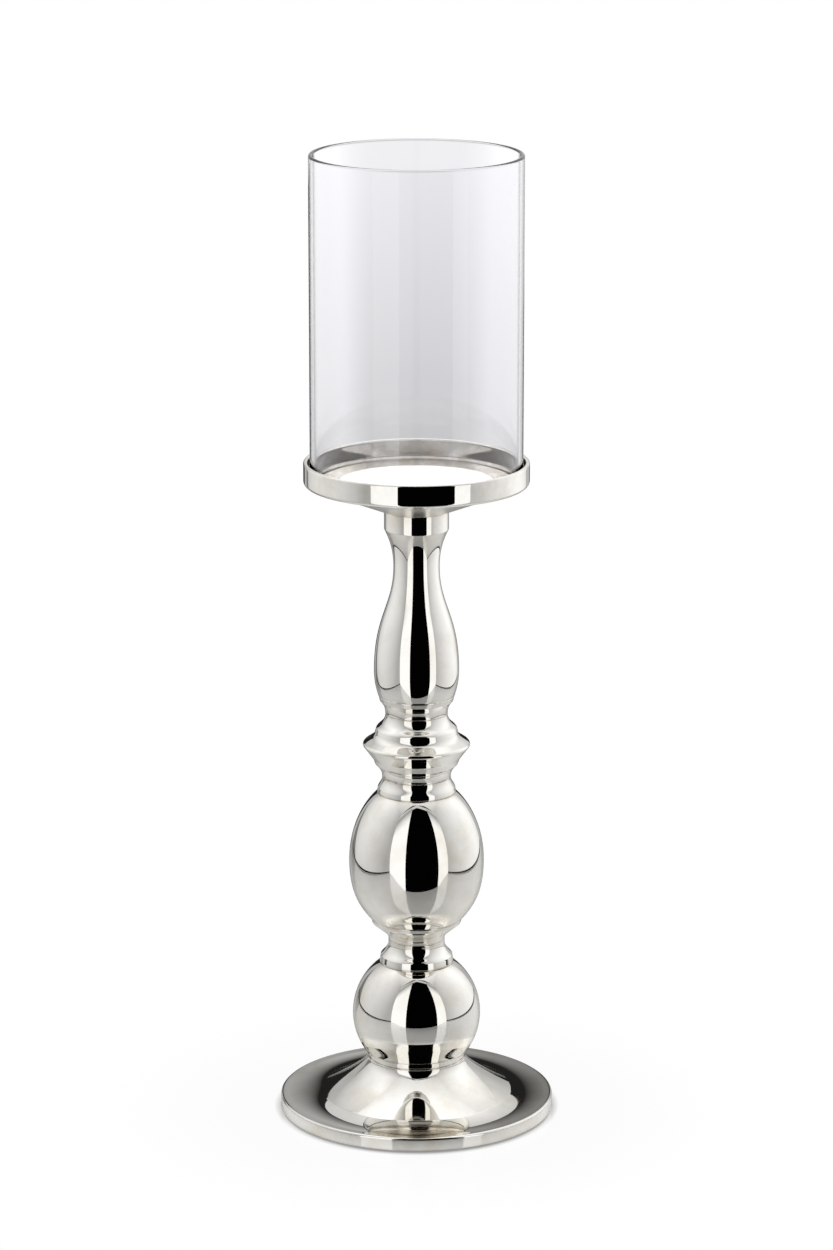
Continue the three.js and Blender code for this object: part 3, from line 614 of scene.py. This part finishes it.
def polished_silver():
    """Mirror silver: faint turning rings, cloudy handling marks and brown tarnish along the seams.

    Faces that look straight down are left satin, as the buffing wheel does not reach them.
    """
    material, tree = finish_nodes("polished_silver")
    rings = placed_group(tree, TURNING_MARKS, Rings_Per_Metre=SILVER_RINGS)
    cloud = placed_group(tree, HANDLING_MARKS, Patches_Per_Metre=SILVER_PATCHES)
    seam = node(tree, "ShaderNodeAttribute", attribute_name="seam").outputs["Fac"]
    patchy = placed_group(tree, HANDLING_MARKS, Patches_Per_Metre=TARNISH_PATCHES)
    broken = ramped(tree, patchy, *TARNISH_CLOUD, high=TARNISH_STRENGTH)
    tarnish = calculated(tree, "MULTIPLY", seam, broken)
    bright = mixed(tree, ramped(tree, cloud, *SILVER_DULL_CLOUD), SILVER, SILVER_DULL)
    haze = ramped(tree, cloud, *SILVER_HAZE_CLOUD, *SILVER_ROUGHNESS)
    dull = calculated(tree, "MULTIPLY", tarnish, TARNISH_ROUGHNESS)
    normal = node(tree, "ShaderNodeNewGeometry").outputs["Normal"]
    upward = node(tree, "ShaderNodeSeparateXYZ", {0: normal}).outputs["Z"]
    satin = ramped(tree, upward, *UNDERSIDE_TURN, low=UNDERSIDE_ROUGHNESS, high=0.0)
    worn = calculated(tree, "ADD", haze, dull)
    surfaced(
        tree,
        {
            "Base Color": mixed(tree, tarnish, bright, TARNISH),
            "Metallic": 1.0,
            "Roughness": calculated(tree, "MAXIMUM", worn, satin),
            "Normal": relief(tree, rings, SILVER_RING_DEPTH),
        },
    )
    return material


silver = polished_silver()
rim_inside = FOOT_RADIUS - FOOT_WALL
foot_web_bottom = FOOT_HEIGHT - FOOT_WEB
foot_outside = [
    (rim_inside, 0),
    *rounded(FOOT_RADIUS - RIM_FOOT_ROUND, RIM_FOOT_ROUND, RIM_FOOT_ROUND, -90, 0, steps=8),
    *rounded(FOOT_RADIUS - RIM_ROUND, RIM_HEIGHT - RIM_ROUND, RIM_ROUND, 0, 90, steps=10),
    *bend(LIP_END, *TROUGH_BENDS, CONE_FOOT),
    *bend(CONE_FOOT, CONE_BEND, CONE_HEAD)[1:],
    *bend(CONE_HEAD, NECK_BEND, (FOOT_TOP_RADIUS, FOOT_HEIGHT))[1:],
]
under_cone = [
    *bend(CONE_HEAD, CONE_BEND, CONE_FOOT, steps=12),
    *bend(CONE_FOOT, *reversed(TROUGH_BENDS), LIP_END, steps=8)[1:],
]
foot_inside = [
    *spigot_top(FOOT_HEIGHT),
    (BORE, foot_web_bottom),
    (FOOT_TOP_RADIUS - FOOT_WALL, foot_web_bottom),
    *[(radius - UNDER_CONE_IN, height - UNDER_CONE_DROP) for radius, height in under_cone],
    (rim_inside, RIM_HEIGHT - FOOT_WALL),
]
foot = turned("spun_foot", "foot_shell", foot_outside, foot_inside, silver, WIDE_SEGMENTS)
fitted(foot, "stand", "foot_shell")


# Foot ring
# A plain ring turned from brass bar and silver plated. It sits on the foot's spigot and carries the
# ball, and it draws in a little towards its top.
RING_BOTTOM, RING_TOP, RING_HEIGHT = 27.8, 27.3, 3.5


def turned_stem_piece(name, stands_for, outside):
    """A stem piece turned from the solid, with a spigot above its seat and a socket below."""
    height = outside[-1][1]
    piece = turned(name, stands_for, outside, spigot_top(height) + SOCKET_BELOW, silver)
    return fitted(piece, "stand", stands_for)


turned_stem_piece("turned_foot_ring", "foot_ring", [(RING_BOTTOM, 0), (RING_TOP, RING_HEIGHT)])


# Lower ball
# A hollow ball spun from brass sheet and silver plated, a little taller than round, cut off flat at
# its two seats. A web at each end has the bore for the rod.
BALL_RADIUS, BALL_HALF_HEIGHT = 36.85, 37.5
BALL_BOTTOM, BALL_TOP = 29.4, 20.9
BALL_STEPS, BALL_INSIDE_STEPS = 96, 48
SPUN_WALL, TOP_WEB, SOCKET_ROOF = 1.5, 2.5, 2.0


def hollow(wall, floor, roof):
    """The stretch of an inside wall between two webs, drawn downwards."""
    inside = [point for point in reversed(wall) if floor < point[1] < roof]
    return [(inside[0][0], roof), *inside, (inside[-1][0], floor)]


def spun_stem_piece(name, stands_for, outside, wall):
    """A hollow stem piece spun from sheet, with a web, a spigot and a socket at its ends."""
    height = outside[-1][1]
    floor, roof = SOCKET_DEPTH + SOCKET_ROOF, height - TOP_WEB
    inside = [*spigot_top(height), (BORE, roof), *hollow(wall, floor, roof), (BORE, floor), *SOCKET_BELOW]
    piece = turned(name, stands_for, outside, inside, silver)
    return fitted(piece, "stand", stands_for)


ball_low, ball_high = (math.degrees(math.acos(seat / BALL_RADIUS)) for seat in (BALL_BOTTOM, BALL_TOP))
ball_middle = BALL_HALF_HEIGHT * math.sin(math.radians(ball_low))


def ball_wall(inset, steps):
    """The ball's wall, at a distance in from its surface."""
    return arc(
        0, ball_middle, BALL_RADIUS - inset, BALL_HALF_HEIGHT - inset, -ball_low, ball_high, steps=steps
    )


ball_outside = ball_wall(0, BALL_STEPS)
spun_stem_piece("spun_ball", "lower_ball", ball_outside, ball_wall(SPUN_WALL, BALL_INSIDE_STEPS))


# Lower knop
# A turned and plated piece on the ball: a band that rounds over at its top and draws in through a
# cove to a short neck.
KNOP_BAND = [(21.3, 0), (20.7, 4.0)]
KNOP_TURN, KNOP_SLOPE = (19.0, 5.95), 1.0
NECK_RADIUS, KNOP_COVE_TOP, KNOP_HEIGHT = 16.2, 11.5, 13.4


def shoulder(band, turn, neck, slope):
    """The top of a band that rounds over at a slope and draws in through a cove to a neck."""
    over = (band[0], turn[1] - (band[0] - turn[0]) * slope)
    under = (neck[0], turn[1] + (turn[0] - neck[0]) * slope)
    return bend(band, over, turn) + bend(turn, under, neck)[1:]


turned_stem_piece(
    "turned_lower_knop",
    "lower_knop",
    [
        KNOP_BAND[0],
        *shoulder(KNOP_BAND[1], KNOP_TURN, (NECK_RADIUS, KNOP_COVE_TOP), KNOP_SLOPE),
        (NECK_RADIUS, KNOP_HEIGHT),
    ],
)


# Ovoid foot
# A turned and plated piece: the neck opens like a trumpet into a cone, which ends in a rounded edge
# under a narrow band. The band stands a little back from the edge of the ovoid.
OVOID_FOOT_NECK_TOP, OVOID_FOOT_FLARE = 0.6, (20.35, 6.2)
OVOID_FOOT_EDGE = [(24.9, 9.8), (25.8, 10.5), (25.8, 11.3)]
OVOID_FOOT_TOP = (26.3, 13.0)
OVOID_FOOT_SLOPE = 0.79


def trumpet(neck, edge, slope):
    """A cove that opens upwards from a neck to an edge, which it meets at a slope."""
    return bend(neck, (neck[0], edge[1] - (edge[0] - neck[0]) * slope), edge)


turned_stem_piece(
    "turned_ovoid_foot",
    "ovoid_foot",
    [
        (NECK_RADIUS, 0),
        *trumpet((NECK_RADIUS, OVOID_FOOT_NECK_TOP), OVOID_FOOT_FLARE, OVOID_FOOT_SLOPE),
        *bend(*OVOID_FOOT_EDGE, steps=10),
        OVOID_FOOT_TOP,
    ],
)


# Ovoid
# A hollow egg spun from brass sheet and silver plated, the widest piece of the stem. Its lower half is
# fuller than its upper half. Like the ball it is cut off at its seats and closed there by webs.
OVOID_RADIUS, OVOID_BELLY_HEIGHT, OVOID_BELLY_RUN = 38.7, 34.6, 18.0
OVOID_BOTTOM, OVOID_BOTTOM_REACH, OVOID_BOTTOM_RUN = 26.5, 7.3, 8.0
OVOID_TOP, OVOID_UPPER_HALF_HEIGHT = 22.6, 49.9
OVOID_STEPS, OVOID_INSIDE_STEPS = 48, 32


def ovoid_wall(inset, steps):
    """The ovoid's wall, at a distance in from its surface."""
    bottom, belly, top = OVOID_BOTTOM - inset, OVOID_RADIUS - inset, OVOID_TOP - inset
    lower = bend(
        (bottom, 0),
        (bottom + OVOID_BOTTOM_REACH, OVOID_BOTTOM_RUN),
        (belly, OVOID_BELLY_HEIGHT - OVOID_BELLY_RUN),
        (belly, OVOID_BELLY_HEIGHT),
        steps=steps,
    )
    end = math.degrees(math.acos(top / belly))
    upper = arc(0, OVOID_BELLY_HEIGHT, belly, OVOID_UPPER_HALF_HEIGHT - inset, 0, end, steps=steps)
    return lower + upper[1:]


ovoid_outside = ovoid_wall(0, OVOID_STEPS)
spun_stem_piece("spun_ovoid", "ovoid_body", ovoid_outside, ovoid_wall(SPUN_WALL, OVOID_INSIDE_STEPS))


# Ovoid collar
# A turned and plated collar on the ovoid: a band that rounds over and draws in to a short neck. It sits
# on the ovoid's spigot and carries the flange knop.
COLLAR_BAND = [(22.6, 0), (22.15, 2.6)]
COLLAR_TURN, COLLAR_SLOPE = (20.9, 4.95), 1.57
OVOID_NECK = (19.6, 8.8)

turned_stem_piece(
    "turned_ovoid_collar",
    "ovoid_collar",
    [COLLAR_BAND[0], *shoulder(COLLAR_BAND[1], COLLAR_TURN, OVOID_NECK, COLLAR_SLOPE)],
)


# Flange knop
# The largest turned piece: a trumpet that opens to a lip, a flange with a rounded edge, and above it a
# bell that draws in to the vase's neck. Turned from bar and plated.
FLANGE_LIP, FLANGE_SLOPE = [(23.7, 7.9), (24.85, 11.0)], 0.9
FLANGE_EDGE = [(29.9, 17.8), (31.3, 19.1), (29.9, 20.4)]
BELL_FOOT = [(26.6, 22.6), (23.6, 24.6), (23.6, 26.6)]
BELL_BAND_TOP, BELL_TURN, BELL_SLOPE = (23.2, 28.1), (21.0, 30.9), 0.81
BELL_NECK = (17.75, 37.2)

turned_stem_piece(
    "turned_flange_knop",
    "flange_knop",
    [
        *trumpet((OVOID_NECK[0], 0), FLANGE_LIP[0], FLANGE_SLOPE),
        FLANGE_LIP[1],
        *bend(*FLANGE_EDGE),
        *bend(*BELL_FOOT),
        *shoulder(BELL_BAND_TOP, BELL_TURN, BELL_NECK, BELL_SLOPE),
    ],
)


# Vase ring
# A turned and plated ring that opens like a trumpet from the bell's neck, with a band as wide as the
# vase's foot at its top.
VASE_RING_LIP, VASE_RING_SLOPE = (20.9, 7.7), 0.98
VASE_RING_TOP = (21.65, 10.7)

turned_stem_piece(
    "turned_vase_ring",
    "vase_ring",
    [*trumpet((BELL_NECK[0], 0), VASE_RING_LIP, VASE_RING_SLOPE), VASE_RING_TOP],
)


# Vase column
# The tall upper part of the stem, spun from brass tube and silver plated: a belly that draws in to a
# throat, flares and ends in a plain collar under the plate. The plate's boss sits inside the collar.
VASE_BOTTOM_RADIUS = 21.8
VASE_BELLY_RADIUS, VASE_BELLY_HEIGHT, VASE_BELLY_RUN = 24.2, 14.4, 32.0
VASE_THROAT_RADIUS, VASE_THROAT_HEIGHT, VASE_THROAT_RUN = 13.05, 75.2, 23.0
VASE_FLARE_HEIGHT, VASE_FLARE_RUN = 21.8, 12.0
VASE_COLLAR_RADIUS, VASE_HEIGHT = 18.3, 107.8
VASE_STEPS, VASE_INSIDE_STEPS = 90, 45
BOSS_BORE, BOSS_DEPTH = 9.3, 17.0


def vase_wall(inset, steps):
    """The vase's wall, from its foot to its collar, at a distance in from its surface."""
    bottom, belly = VASE_BOTTOM_RADIUS - inset, VASE_BELLY_RADIUS - inset
    throat, collar = VASE_THROAT_RADIUS - inset, VASE_COLLAR_RADIUS - inset
    return [
        *bend((bottom, 0), (belly, VASE_BELLY_HEIGHT / 2), (belly, VASE_BELLY_HEIGHT), steps=steps // 3),
        *bend(
            (belly, VASE_BELLY_HEIGHT),
            (belly, VASE_BELLY_HEIGHT + VASE_BELLY_RUN),
            (throat, VASE_THROAT_HEIGHT - VASE_THROAT_RUN),
            (throat, VASE_THROAT_HEIGHT),
            steps=steps,
        )[1:],
        *bend(
            (throat, VASE_THROAT_HEIGHT),
            (throat, VASE_THROAT_HEIGHT + VASE_FLARE_RUN),
            (collar, VASE_THROAT_HEIGHT + VASE_FLARE_HEIGHT),
            steps=steps // 3,
        )[1:],
    ]


vase_floor, boss_floor = SOCKET_DEPTH + SOCKET_ROOF, VASE_HEIGHT - BOSS_DEPTH
vase_inside = [
    (BOSS_BORE, VASE_HEIGHT),
    (BOSS_BORE, boss_floor),
    *hollow(vase_wall(SPUN_WALL, VASE_INSIDE_STEPS), vase_floor, boss_floor),
    (BORE, vase_floor),
    *SOCKET_BELOW,
]
vase_outside = vase_wall(0, VASE_STEPS) + [(VASE_COLLAR_RADIUS, VASE_HEIGHT)]
vase = turned("spun_vase", "vase_column", vase_outside, vase_inside, silver)
fitted(vase, "stand", "vase_column")


# Plate boss
# A short brass cylinder brazed under the plate. It centres the plate in the vase's collar, and the
# tie rod screws into it from below. Turned and left unplated, out of sight.
BOSS_RADIUS, BOSS_HEIGHT, BOSS_BORE_HEIGHT = 9.0, 14.0, 11.2
BRASS_LIGHT, BRASS_DARK = (0.78, 0.62, 0.32, 1), (0.6, 0.44, 0.2, 1)
BRASS_RINGS, BRASS_RING_DEPTH = 900.0, 0.00002
BRASS_PATCHES, BRASS_ROUGHNESS = 120.0, (0.22, 0.38)
CLOUD_SPREAD = (0.3, 0.7)


def turned_brass():
    """Unplated brass with the lathe's rings and a patchy darkening."""
    material, tree = finish_nodes("turned_brass")
    rings = placed_group(tree, TURNING_MARKS, Rings_Per_Metre=BRASS_RINGS)
    cloud = placed_group(tree, HANDLING_MARKS, Patches_Per_Metre=BRASS_PATCHES)
    surfaced(
        tree,
        {
            "Base Color": mixed(tree, cloud, BRASS_LIGHT, BRASS_DARK),
            "Metallic": 1.0,
            "Roughness": ramped(tree, cloud, *CLOUD_SPREAD, *BRASS_ROUGHNESS),
            "Normal": relief(tree, rings, BRASS_RING_DEPTH),
        },
    )
    return material


boss_outline = [
    (0, BOSS_BORE_HEIGHT),
    (BORE, BOSS_BORE_HEIGHT),
    (BORE, 0),
    (BOSS_RADIUS, 0),
    (BOSS_RADIUS, BOSS_HEIGHT),
    (0, BOSS_HEIGHT),
]
boss = turned("turned_boss", "plate_boss", boss_outline, [], turned_brass())
fitted(boss, "stand", "plate_boss")


# Candle plate
# A spun tray, silver plated inside and out: a flat well and a shallow cone for the candle, a narrow
# ledge that the glass stands on and an upright rim that keeps the glass in place.
PLATE_SHEET = 1.5
WELL_RADIUS, CONE_RISE = 19.6, 14.8
LEDGE_INSIDE, RIM_INSIDE, RIM_OUTSIDE = 56.7, 61.2, 63.7
PLATE_HEIGHT, CORNER_ROUND = 28.0, 2.4
CORNER_REACH = 9.0

cone_angle = math.atan2(CONE_RISE, LEDGE_INSIDE - WELL_RADIUS)
mitre = PLATE_SHEET * math.tan(cone_angle / 2)
rim_round = (RIM_OUTSIDE - RIM_INSIDE) / 2
ledge_top = CONE_RISE + PLATE_SHEET
rim_corner = (RIM_INSIDE, ledge_top)
plate_outline = [
    (0, 0),
    (WELL_RADIUS, 0),
    (LEDGE_INSIDE, CONE_RISE),
    *rounded(RIM_OUTSIDE - CORNER_ROUND, CONE_RISE + CORNER_ROUND, CORNER_ROUND, -90, 0, steps=14),
    *rounded(RIM_INSIDE + rim_round, PLATE_HEIGHT - rim_round, rim_round, 0, 180, steps=20),
    rim_corner,
    (LEDGE_INSIDE - mitre, ledge_top),
    (WELL_RADIUS - mitre, PLATE_SHEET),
    (0, PLATE_SHEET),
]
plate = turned(
    "spun_plate",
    "candle_plate",
    plate_outline,
    [],
    silver,
    WIDE_SEGMENTS,
    seams=[rim_corner],
    reach=CORNER_REACH,
)
fitted(plate, "stand", "candle_plate")


# Tie rod
# A length of M8 steel rod down the axis, zinc plated, with a rolled thread at each end. It screws into
# the plate's boss and clamps the whole stem to the foot.
ROD_RADIUS, ROD_LENGTH = 4.0, 338.0
THREAD_PITCH, THREAD_DEPTH = 1.25, 0.65
FOOT_THREAD_TURNS, BOSS_THREAD_TURNS = 16, 10
ROD_SEGMENTS, ROD_STEP = 64, 6.0
ZINC_LIGHT, ZINC_DARK = (0.72, 0.73, 0.75, 1), (0.55, 0.57, 0.6, 1)
ZINC_PATCHES, ZINC_ROUGHNESS = 220.0, (0.24, 0.42)
ZINC_RINGS, ZINC_RING_DEPTH = 700.0, 0.00001


def zinc_plate():
    """Zinc-plated steel: cool grey, cloudy, with fine tool rings under the plating."""
    material, tree = finish_nodes("zinc_plate")
    rings = placed_group(tree, TURNING_MARKS, Rings_Per_Metre=ZINC_RINGS)
    cloud = placed_group(tree, HANDLING_MARKS, Patches_Per_Metre=ZINC_PATCHES)
    surfaced(
        tree,
        {
            "Base Color": mixed(tree, cloud, ZINC_LIGHT, ZINC_DARK),
            "Metallic": 1.0,
            "Roughness": ramped(tree, cloud, *CLOUD_SPREAD, *ZINC_ROUGHNESS),
            "Normal": relief(tree, rings, ZINC_RING_DEPTH),
        },
    )
    return material


def thread(start, turns):
    """Outline of a rolled thread, as plain rings: a root and a crest, once in each pitch."""
    points = []
    for i in range(turns):
        low = start + i * THREAD_PITCH
        points += [(ROD_RADIUS - THREAD_DEPTH, low), (ROD_RADIUS, low + THREAD_PITCH / 2)]
    return points


zinc = zinc_plate()
boss_thread_start = ROD_LENGTH - BOSS_THREAD_TURNS * THREAD_PITCH
rod_outline = [
    (0, 0),
    *thread(0, FOOT_THREAD_TURNS),
    (ROD_RADIUS, boss_thread_start - THREAD_PITCH),
    *thread(boss_thread_start, BOSS_THREAD_TURNS),
    (ROD_RADIUS - THREAD_DEPTH, ROD_LENGTH),
    (0, ROD_LENGTH),
]
rod = turned("threaded_rod", "tie_rod", rod_outline, [], zinc, ROD_SEGMENTS, ROD_STEP)
fitted(rod, "stand", "tie_rod")


# Washers
# A wide flat washer under the foot's web, and a split spring washer below it that keeps the nut from
# working loose. Stamped steel, zinc plated.
WASHER_RADIUS, WASHER_THICKNESS = 12.0, 1.6
LOCK_WASHER_RADIUS, LOCK_WASHER_THICKNESS, LOCK_WASHER_SPLIT = 6.6, 2.0, 2.0
WASHER_SEGMENTS, LOCK_WASHER_STEPS = 96, 72
BORE_START, BORE_END = 0.4, 0.6


def ring_outline(inner, outer, height):
    """Outline of a flat ring, which starts and ends inside the bore."""
    return [
        (inner, BORE_START * height),
        (inner, 0),
        (outer, 0),
        (outer, height),
        (inner, height),
        (inner, BORE_END * height),
    ]


def solid_piece(name, points, faces, finish):
    """A mesh from points in metres and faces."""
    mesh = bpy.data.meshes.new(name)
    mesh.from_pydata(points, [], faces)
    mesh.materials.append(finish)
    piece = bpy.data.objects.new(name, mesh)
    bpy.context.scene.collection.objects.link(piece)
    return piece


def split_ring(name, stands_for, radius, thickness, split, finish, steps):
    """A ring of square wire with a slot cut through it."""
    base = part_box(stands_for)[0].z
    half = split / 2 / radius
    points, faces = [], []
    section = [(BORE, 0), (radius, 0), (radius, thickness), (BORE, thickness)]
    size = len(section)
    for i in range(steps + 1):
        turn = half + (2 * math.pi - 2 * half) * i / steps
        points += [
            (r * MM * math.cos(turn), r * MM * math.sin(turn), base + z * MM) for r, z in section
        ]
    for i in range(steps):
        here, ahead = size * i, size * (i + 1)
        faces += [
            (here + j, ahead + j, ahead + (j + 1) % size, here + (j + 1) % size) for j in range(size)
        ]
    faces += [range(size), range(size * (steps + 1) - 1, size * steps - 1, -1)]
    return solid_piece(name, points, faces, finish)


washer_outline = ring_outline(BORE, WASHER_RADIUS, WASHER_THICKNESS)
washer = turned("flat_washer", "rod_washer", washer_outline, [], zinc, WASHER_SEGMENTS)
fitted(washer, "stand", "rod_washer")
lock_washer = split_ring(
    "spring_washer",
    "lock_washer",
    LOCK_WASHER_RADIUS,
    LOCK_WASHER_THICKNESS,
    LOCK_WASHER_SPLIT,
    zinc,
    LOCK_WASHER_STEPS,
)
fitted(lock_washer, "stand", "lock_washer")


# Nut
# A hexagon nut with chamfered corners on the rod's lower end, zinc plated. It is tightened with a
# socket spanner through the hole in the bottom cover.
NUT_FLAT_RADIUS, NUT_HEIGHT = 6.5, 6.5
NUT_CHAMFER_RADIUS, NUT_CHAMFER_SLOPE = 6.3, math.tan(math.radians(30))
NUT_STEPS = 96


def hexagon_nut(name, stands_for, finish):
    """A hexagon prism whose two ends are cut to a cone, with a round bore."""
    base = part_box(stands_for)[0].z
    points, faces = [], []
    for i in range(NUT_STEPS):
        turn = 2 * math.pi * i / NUT_STEPS
        corner = (turn + math.pi / 6) % (math.pi / 3) - math.pi / 6
        side = NUT_FLAT_RADIUS / math.cos(math.pi / 6 - abs(corner))
        cut = (side - NUT_CHAMFER_RADIUS) * NUT_CHAMFER_SLOPE
        section = [
            (BORE, 0),
            (NUT_CHAMFER_RADIUS, 0),
            (side, cut),
            (side, NUT_HEIGHT - cut),
            (NUT_CHAMFER_RADIUS, NUT_HEIGHT),
            (BORE, NUT_HEIGHT),
        ]
        points += [
            (r * MM * math.cos(turn), r * MM * math.sin(turn), base + z * MM) for r, z in section
        ]
    size = len(section)
    for i in range(NUT_STEPS):
        here, ahead = size * i, size * ((i + 1) % NUT_STEPS)
        faces += [
            (here + j, ahead + j, ahead + (j + 1) % size, here + (j + 1) % size) for j in range(size)
        ]
    return solid_piece(name, points, faces, finish)


fitted(hexagon_nut("hexagon_nut", "rod_nut", zinc), "stand", "rod_nut")


# Ballast ring
# A ring of cast iron in the hollow of the foot, painted black. It sits on the bottom cover and keeps
# the tall lantern from tipping.
BALLAST_BORE, BALLAST_RADIUS, BALLAST_HEIGHT = 15.0, 46.1, 9.0
BALLAST_STEP = 2.0
IRON_LIGHT, IRON_DARK = (0.06, 0.06, 0.062, 1), (0.02, 0.02, 0.021, 1)
IRON_ROUGHNESS = (0.5, 0.8)
IRON_GRAIN, IRON_GRAIN_DEPTH = 350.0, 0.0003


def painted_iron():
    """Black paint over the grain of a sand casting."""
    material, tree = finish_nodes("painted_iron")
    grain = placed_group(tree, HANDLING_MARKS, Patches_Per_Metre=IRON_GRAIN)
    surfaced(
        tree,
        {
            "Base Color": mixed(tree, grain, IRON_DARK, IRON_LIGHT),
            "Roughness": ramped(tree, grain, *CLOUD_SPREAD, *IRON_ROUGHNESS),
            "Normal": relief(tree, grain, IRON_GRAIN_DEPTH),
        },
    )
    return material


ballast_outline = ring_outline(BALLAST_BORE, BALLAST_RADIUS, BALLAST_HEIGHT)
ballast = turned("cast_ballast", "ballast_ring", ballast_outline, [], painted_iron(), step=BALLAST_STEP)
fitted(ballast, "stand", "ballast_ring")


# Bottom cover
# A stamped steel disc inside the foot's rim, zinc plated, with a hole for the socket spanner. It
# closes the foot and carries the ballast.
COVER_HOLE, COVER_RADIUS, COVER_THICKNESS = 12.0, 77.0, 1.2
COVER_STEP = 3.0

cover_outline = ring_outline(COVER_HOLE, COVER_RADIUS, COVER_THICKNESS)
cover = turned("cover_disc", "bottom_cover", cover_outline, [], zinc, WIDE_SEGMENTS, COVER_STEP)
fitted(cover, "stand", "bottom_cover")


# Felt
# A disc of pressed wool felt, glued flat under the cover and half a millimetre proud of the rim, so
# that the lantern stands on it.
FELT_RADIUS, FELT_THICKNESS, FELT_STEP = 77.0, 1.6, 3.0
FELT_LIGHT, FELT_DARK = (0.03, 0.034, 0.04, 1), (0.012, 0.013, 0.016, 1)
FELT_FIBRES, FELT_FIBRE_DEPTH = 1800.0, 0.0004
FELT_SHEEN = 0.4


def wool_felt():
    """Charcoal felt: matted fibres and a soft sheen."""
    material, tree = finish_nodes("wool_felt")
    fibres = placed_group(tree, HANDLING_MARKS, Patches_Per_Metre=FELT_FIBRES)
    surfaced(
        tree,
        {
            "Base Color": mixed(tree, fibres, FELT_DARK, FELT_LIGHT),
            "Roughness": 1.0,
            "Sheen Weight": FELT_SHEEN,
            "Normal": relief(tree, fibres, FELT_FIBRE_DEPTH),
        },
    )
    return material


felt_outline = [(0, 0), (FELT_RADIUS, 0), (FELT_RADIUS, FELT_THICKNESS), (0, FELT_THICKNESS)]
felt = turned("felt_disc", "felt_pad", felt_outline, [], wool_felt(), WIDE_SEGMENTS, FELT_STEP)
fitted(felt, "stand", "felt_pad")


# Glass cylinder
# A length of clear drawn tube with fire-polished edges. It stands loose on the plate's ledge inside
# the rim, and lifts straight off to change the candle.
GLASS_RADIUS, GLASS_WALL, GLASS_HEIGHT = 60.0, 2.5, 185.0
GLASS_STEP, GLASS_EDGE_STEP = 6.0, 0.4
GLASS_TINT, GLASS_STREAK = (0.98, 0.98, 1.0, 1), (0.955, 0.955, 0.98, 1)
GLASS_IOR = 1.5
GLASS_SIDE_SHADE, GLASS_SIDE_TURN, GLASS_LIP_TURN = (0.14, 0.15, 0.14, 1), (0.77, 0.87), (0.3, 0.05)
GLASS_EDGE_TINT = (0.62, 0.66, 0.48, 1)
GLASS_EDGE_DENSITY = 10.0
DRAW_LINES, DRAW_LINE_DETAIL, DRAW_LINE_SPREAD = 28.0, 1.0, (0.4, 0.7)
DRAW_LINE_STRETCH = (1.0, 1.0, 0.03)


def clear_glass():
    """Clear glass, a little green at its edges, with the faint lengthwise streaks of drawn tube.

    Painted shade darkens its sides where they turn away from the eye, and the rounds of its two ends stay
    clear.
    """
    material, tree = finish_nodes("drawn_glass")
    along = node(tree, "ShaderNodeMapping", {"Vector": object_place(tree), "Scale": DRAW_LINE_STRETCH})
    pattern = {"Vector": along.outputs[0], "Scale": DRAW_LINES, "Detail": DRAW_LINE_DETAIL}
    lines = node(tree, "ShaderNodeTexNoise", pattern)
    streaks = ramped(tree, lines.outputs[0], *DRAW_LINE_SPREAD)
    clear = mixed(tree, streaks, GLASS_TINT, GLASS_STREAK)
    # Painted shade: the sides darken where they turn from the eye, for dark surroundings seen through them
    facing = node(tree, "ShaderNodeLayerWeight").outputs["Facing"]
    turned_away = ramped(tree, facing, *GLASS_SIDE_TURN)
    normal = node(tree, "ShaderNodeNewGeometry").outputs["Normal"]
    lip = calculated(tree, "ABSOLUTE", node(tree, "ShaderNodeSeparateXYZ", {0: normal}).outputs["Z"])
    side = calculated(tree, "MULTIPLY", turned_away, ramped(tree, lip, *GLASS_LIP_TURN))
    output = surfaced(
        tree,
        {
            "Base Color": mixed(tree, side, clear, GLASS_SIDE_SHADE),
            "Roughness": 0.0,
            "IOR": GLASS_IOR,
            "Transmission Weight": 1.0,
        },
    )
    inside = node(
        tree, "ShaderNodeVolumeAbsorption", {"Color": GLASS_EDGE_TINT, "Density": GLASS_EDGE_DENSITY}
    )
    tree.links.new(inside.outputs[0], output.inputs["Volume"])
    return material


glass_edge = GLASS_WALL / 2
glass_middle = GLASS_RADIUS - glass_edge
glass_inside = GLASS_RADIUS - GLASS_WALL
lower_edge, upper_edge = glass_edge + GLASS_EDGE_STEP, GLASS_HEIGHT - glass_edge - GLASS_EDGE_STEP
glass_outline = [
    (glass_inside, lower_edge),
    *rounded(glass_middle, glass_edge, glass_edge, -180, 0, steps=16),
    (GLASS_RADIUS, lower_edge),
    (GLASS_RADIUS, upper_edge),
    *rounded(glass_middle, GLASS_HEIGHT - glass_edge, glass_edge, 0, 180, steps=16),
    (glass_inside, upper_edge),
]
glass = turned("glass_tube", "glass_cylinder", glass_outline, [], clear_glass(), WIDE_SEGMENTS, GLASS_STEP)
fitted(glass, "glass", "glass_cylinder")
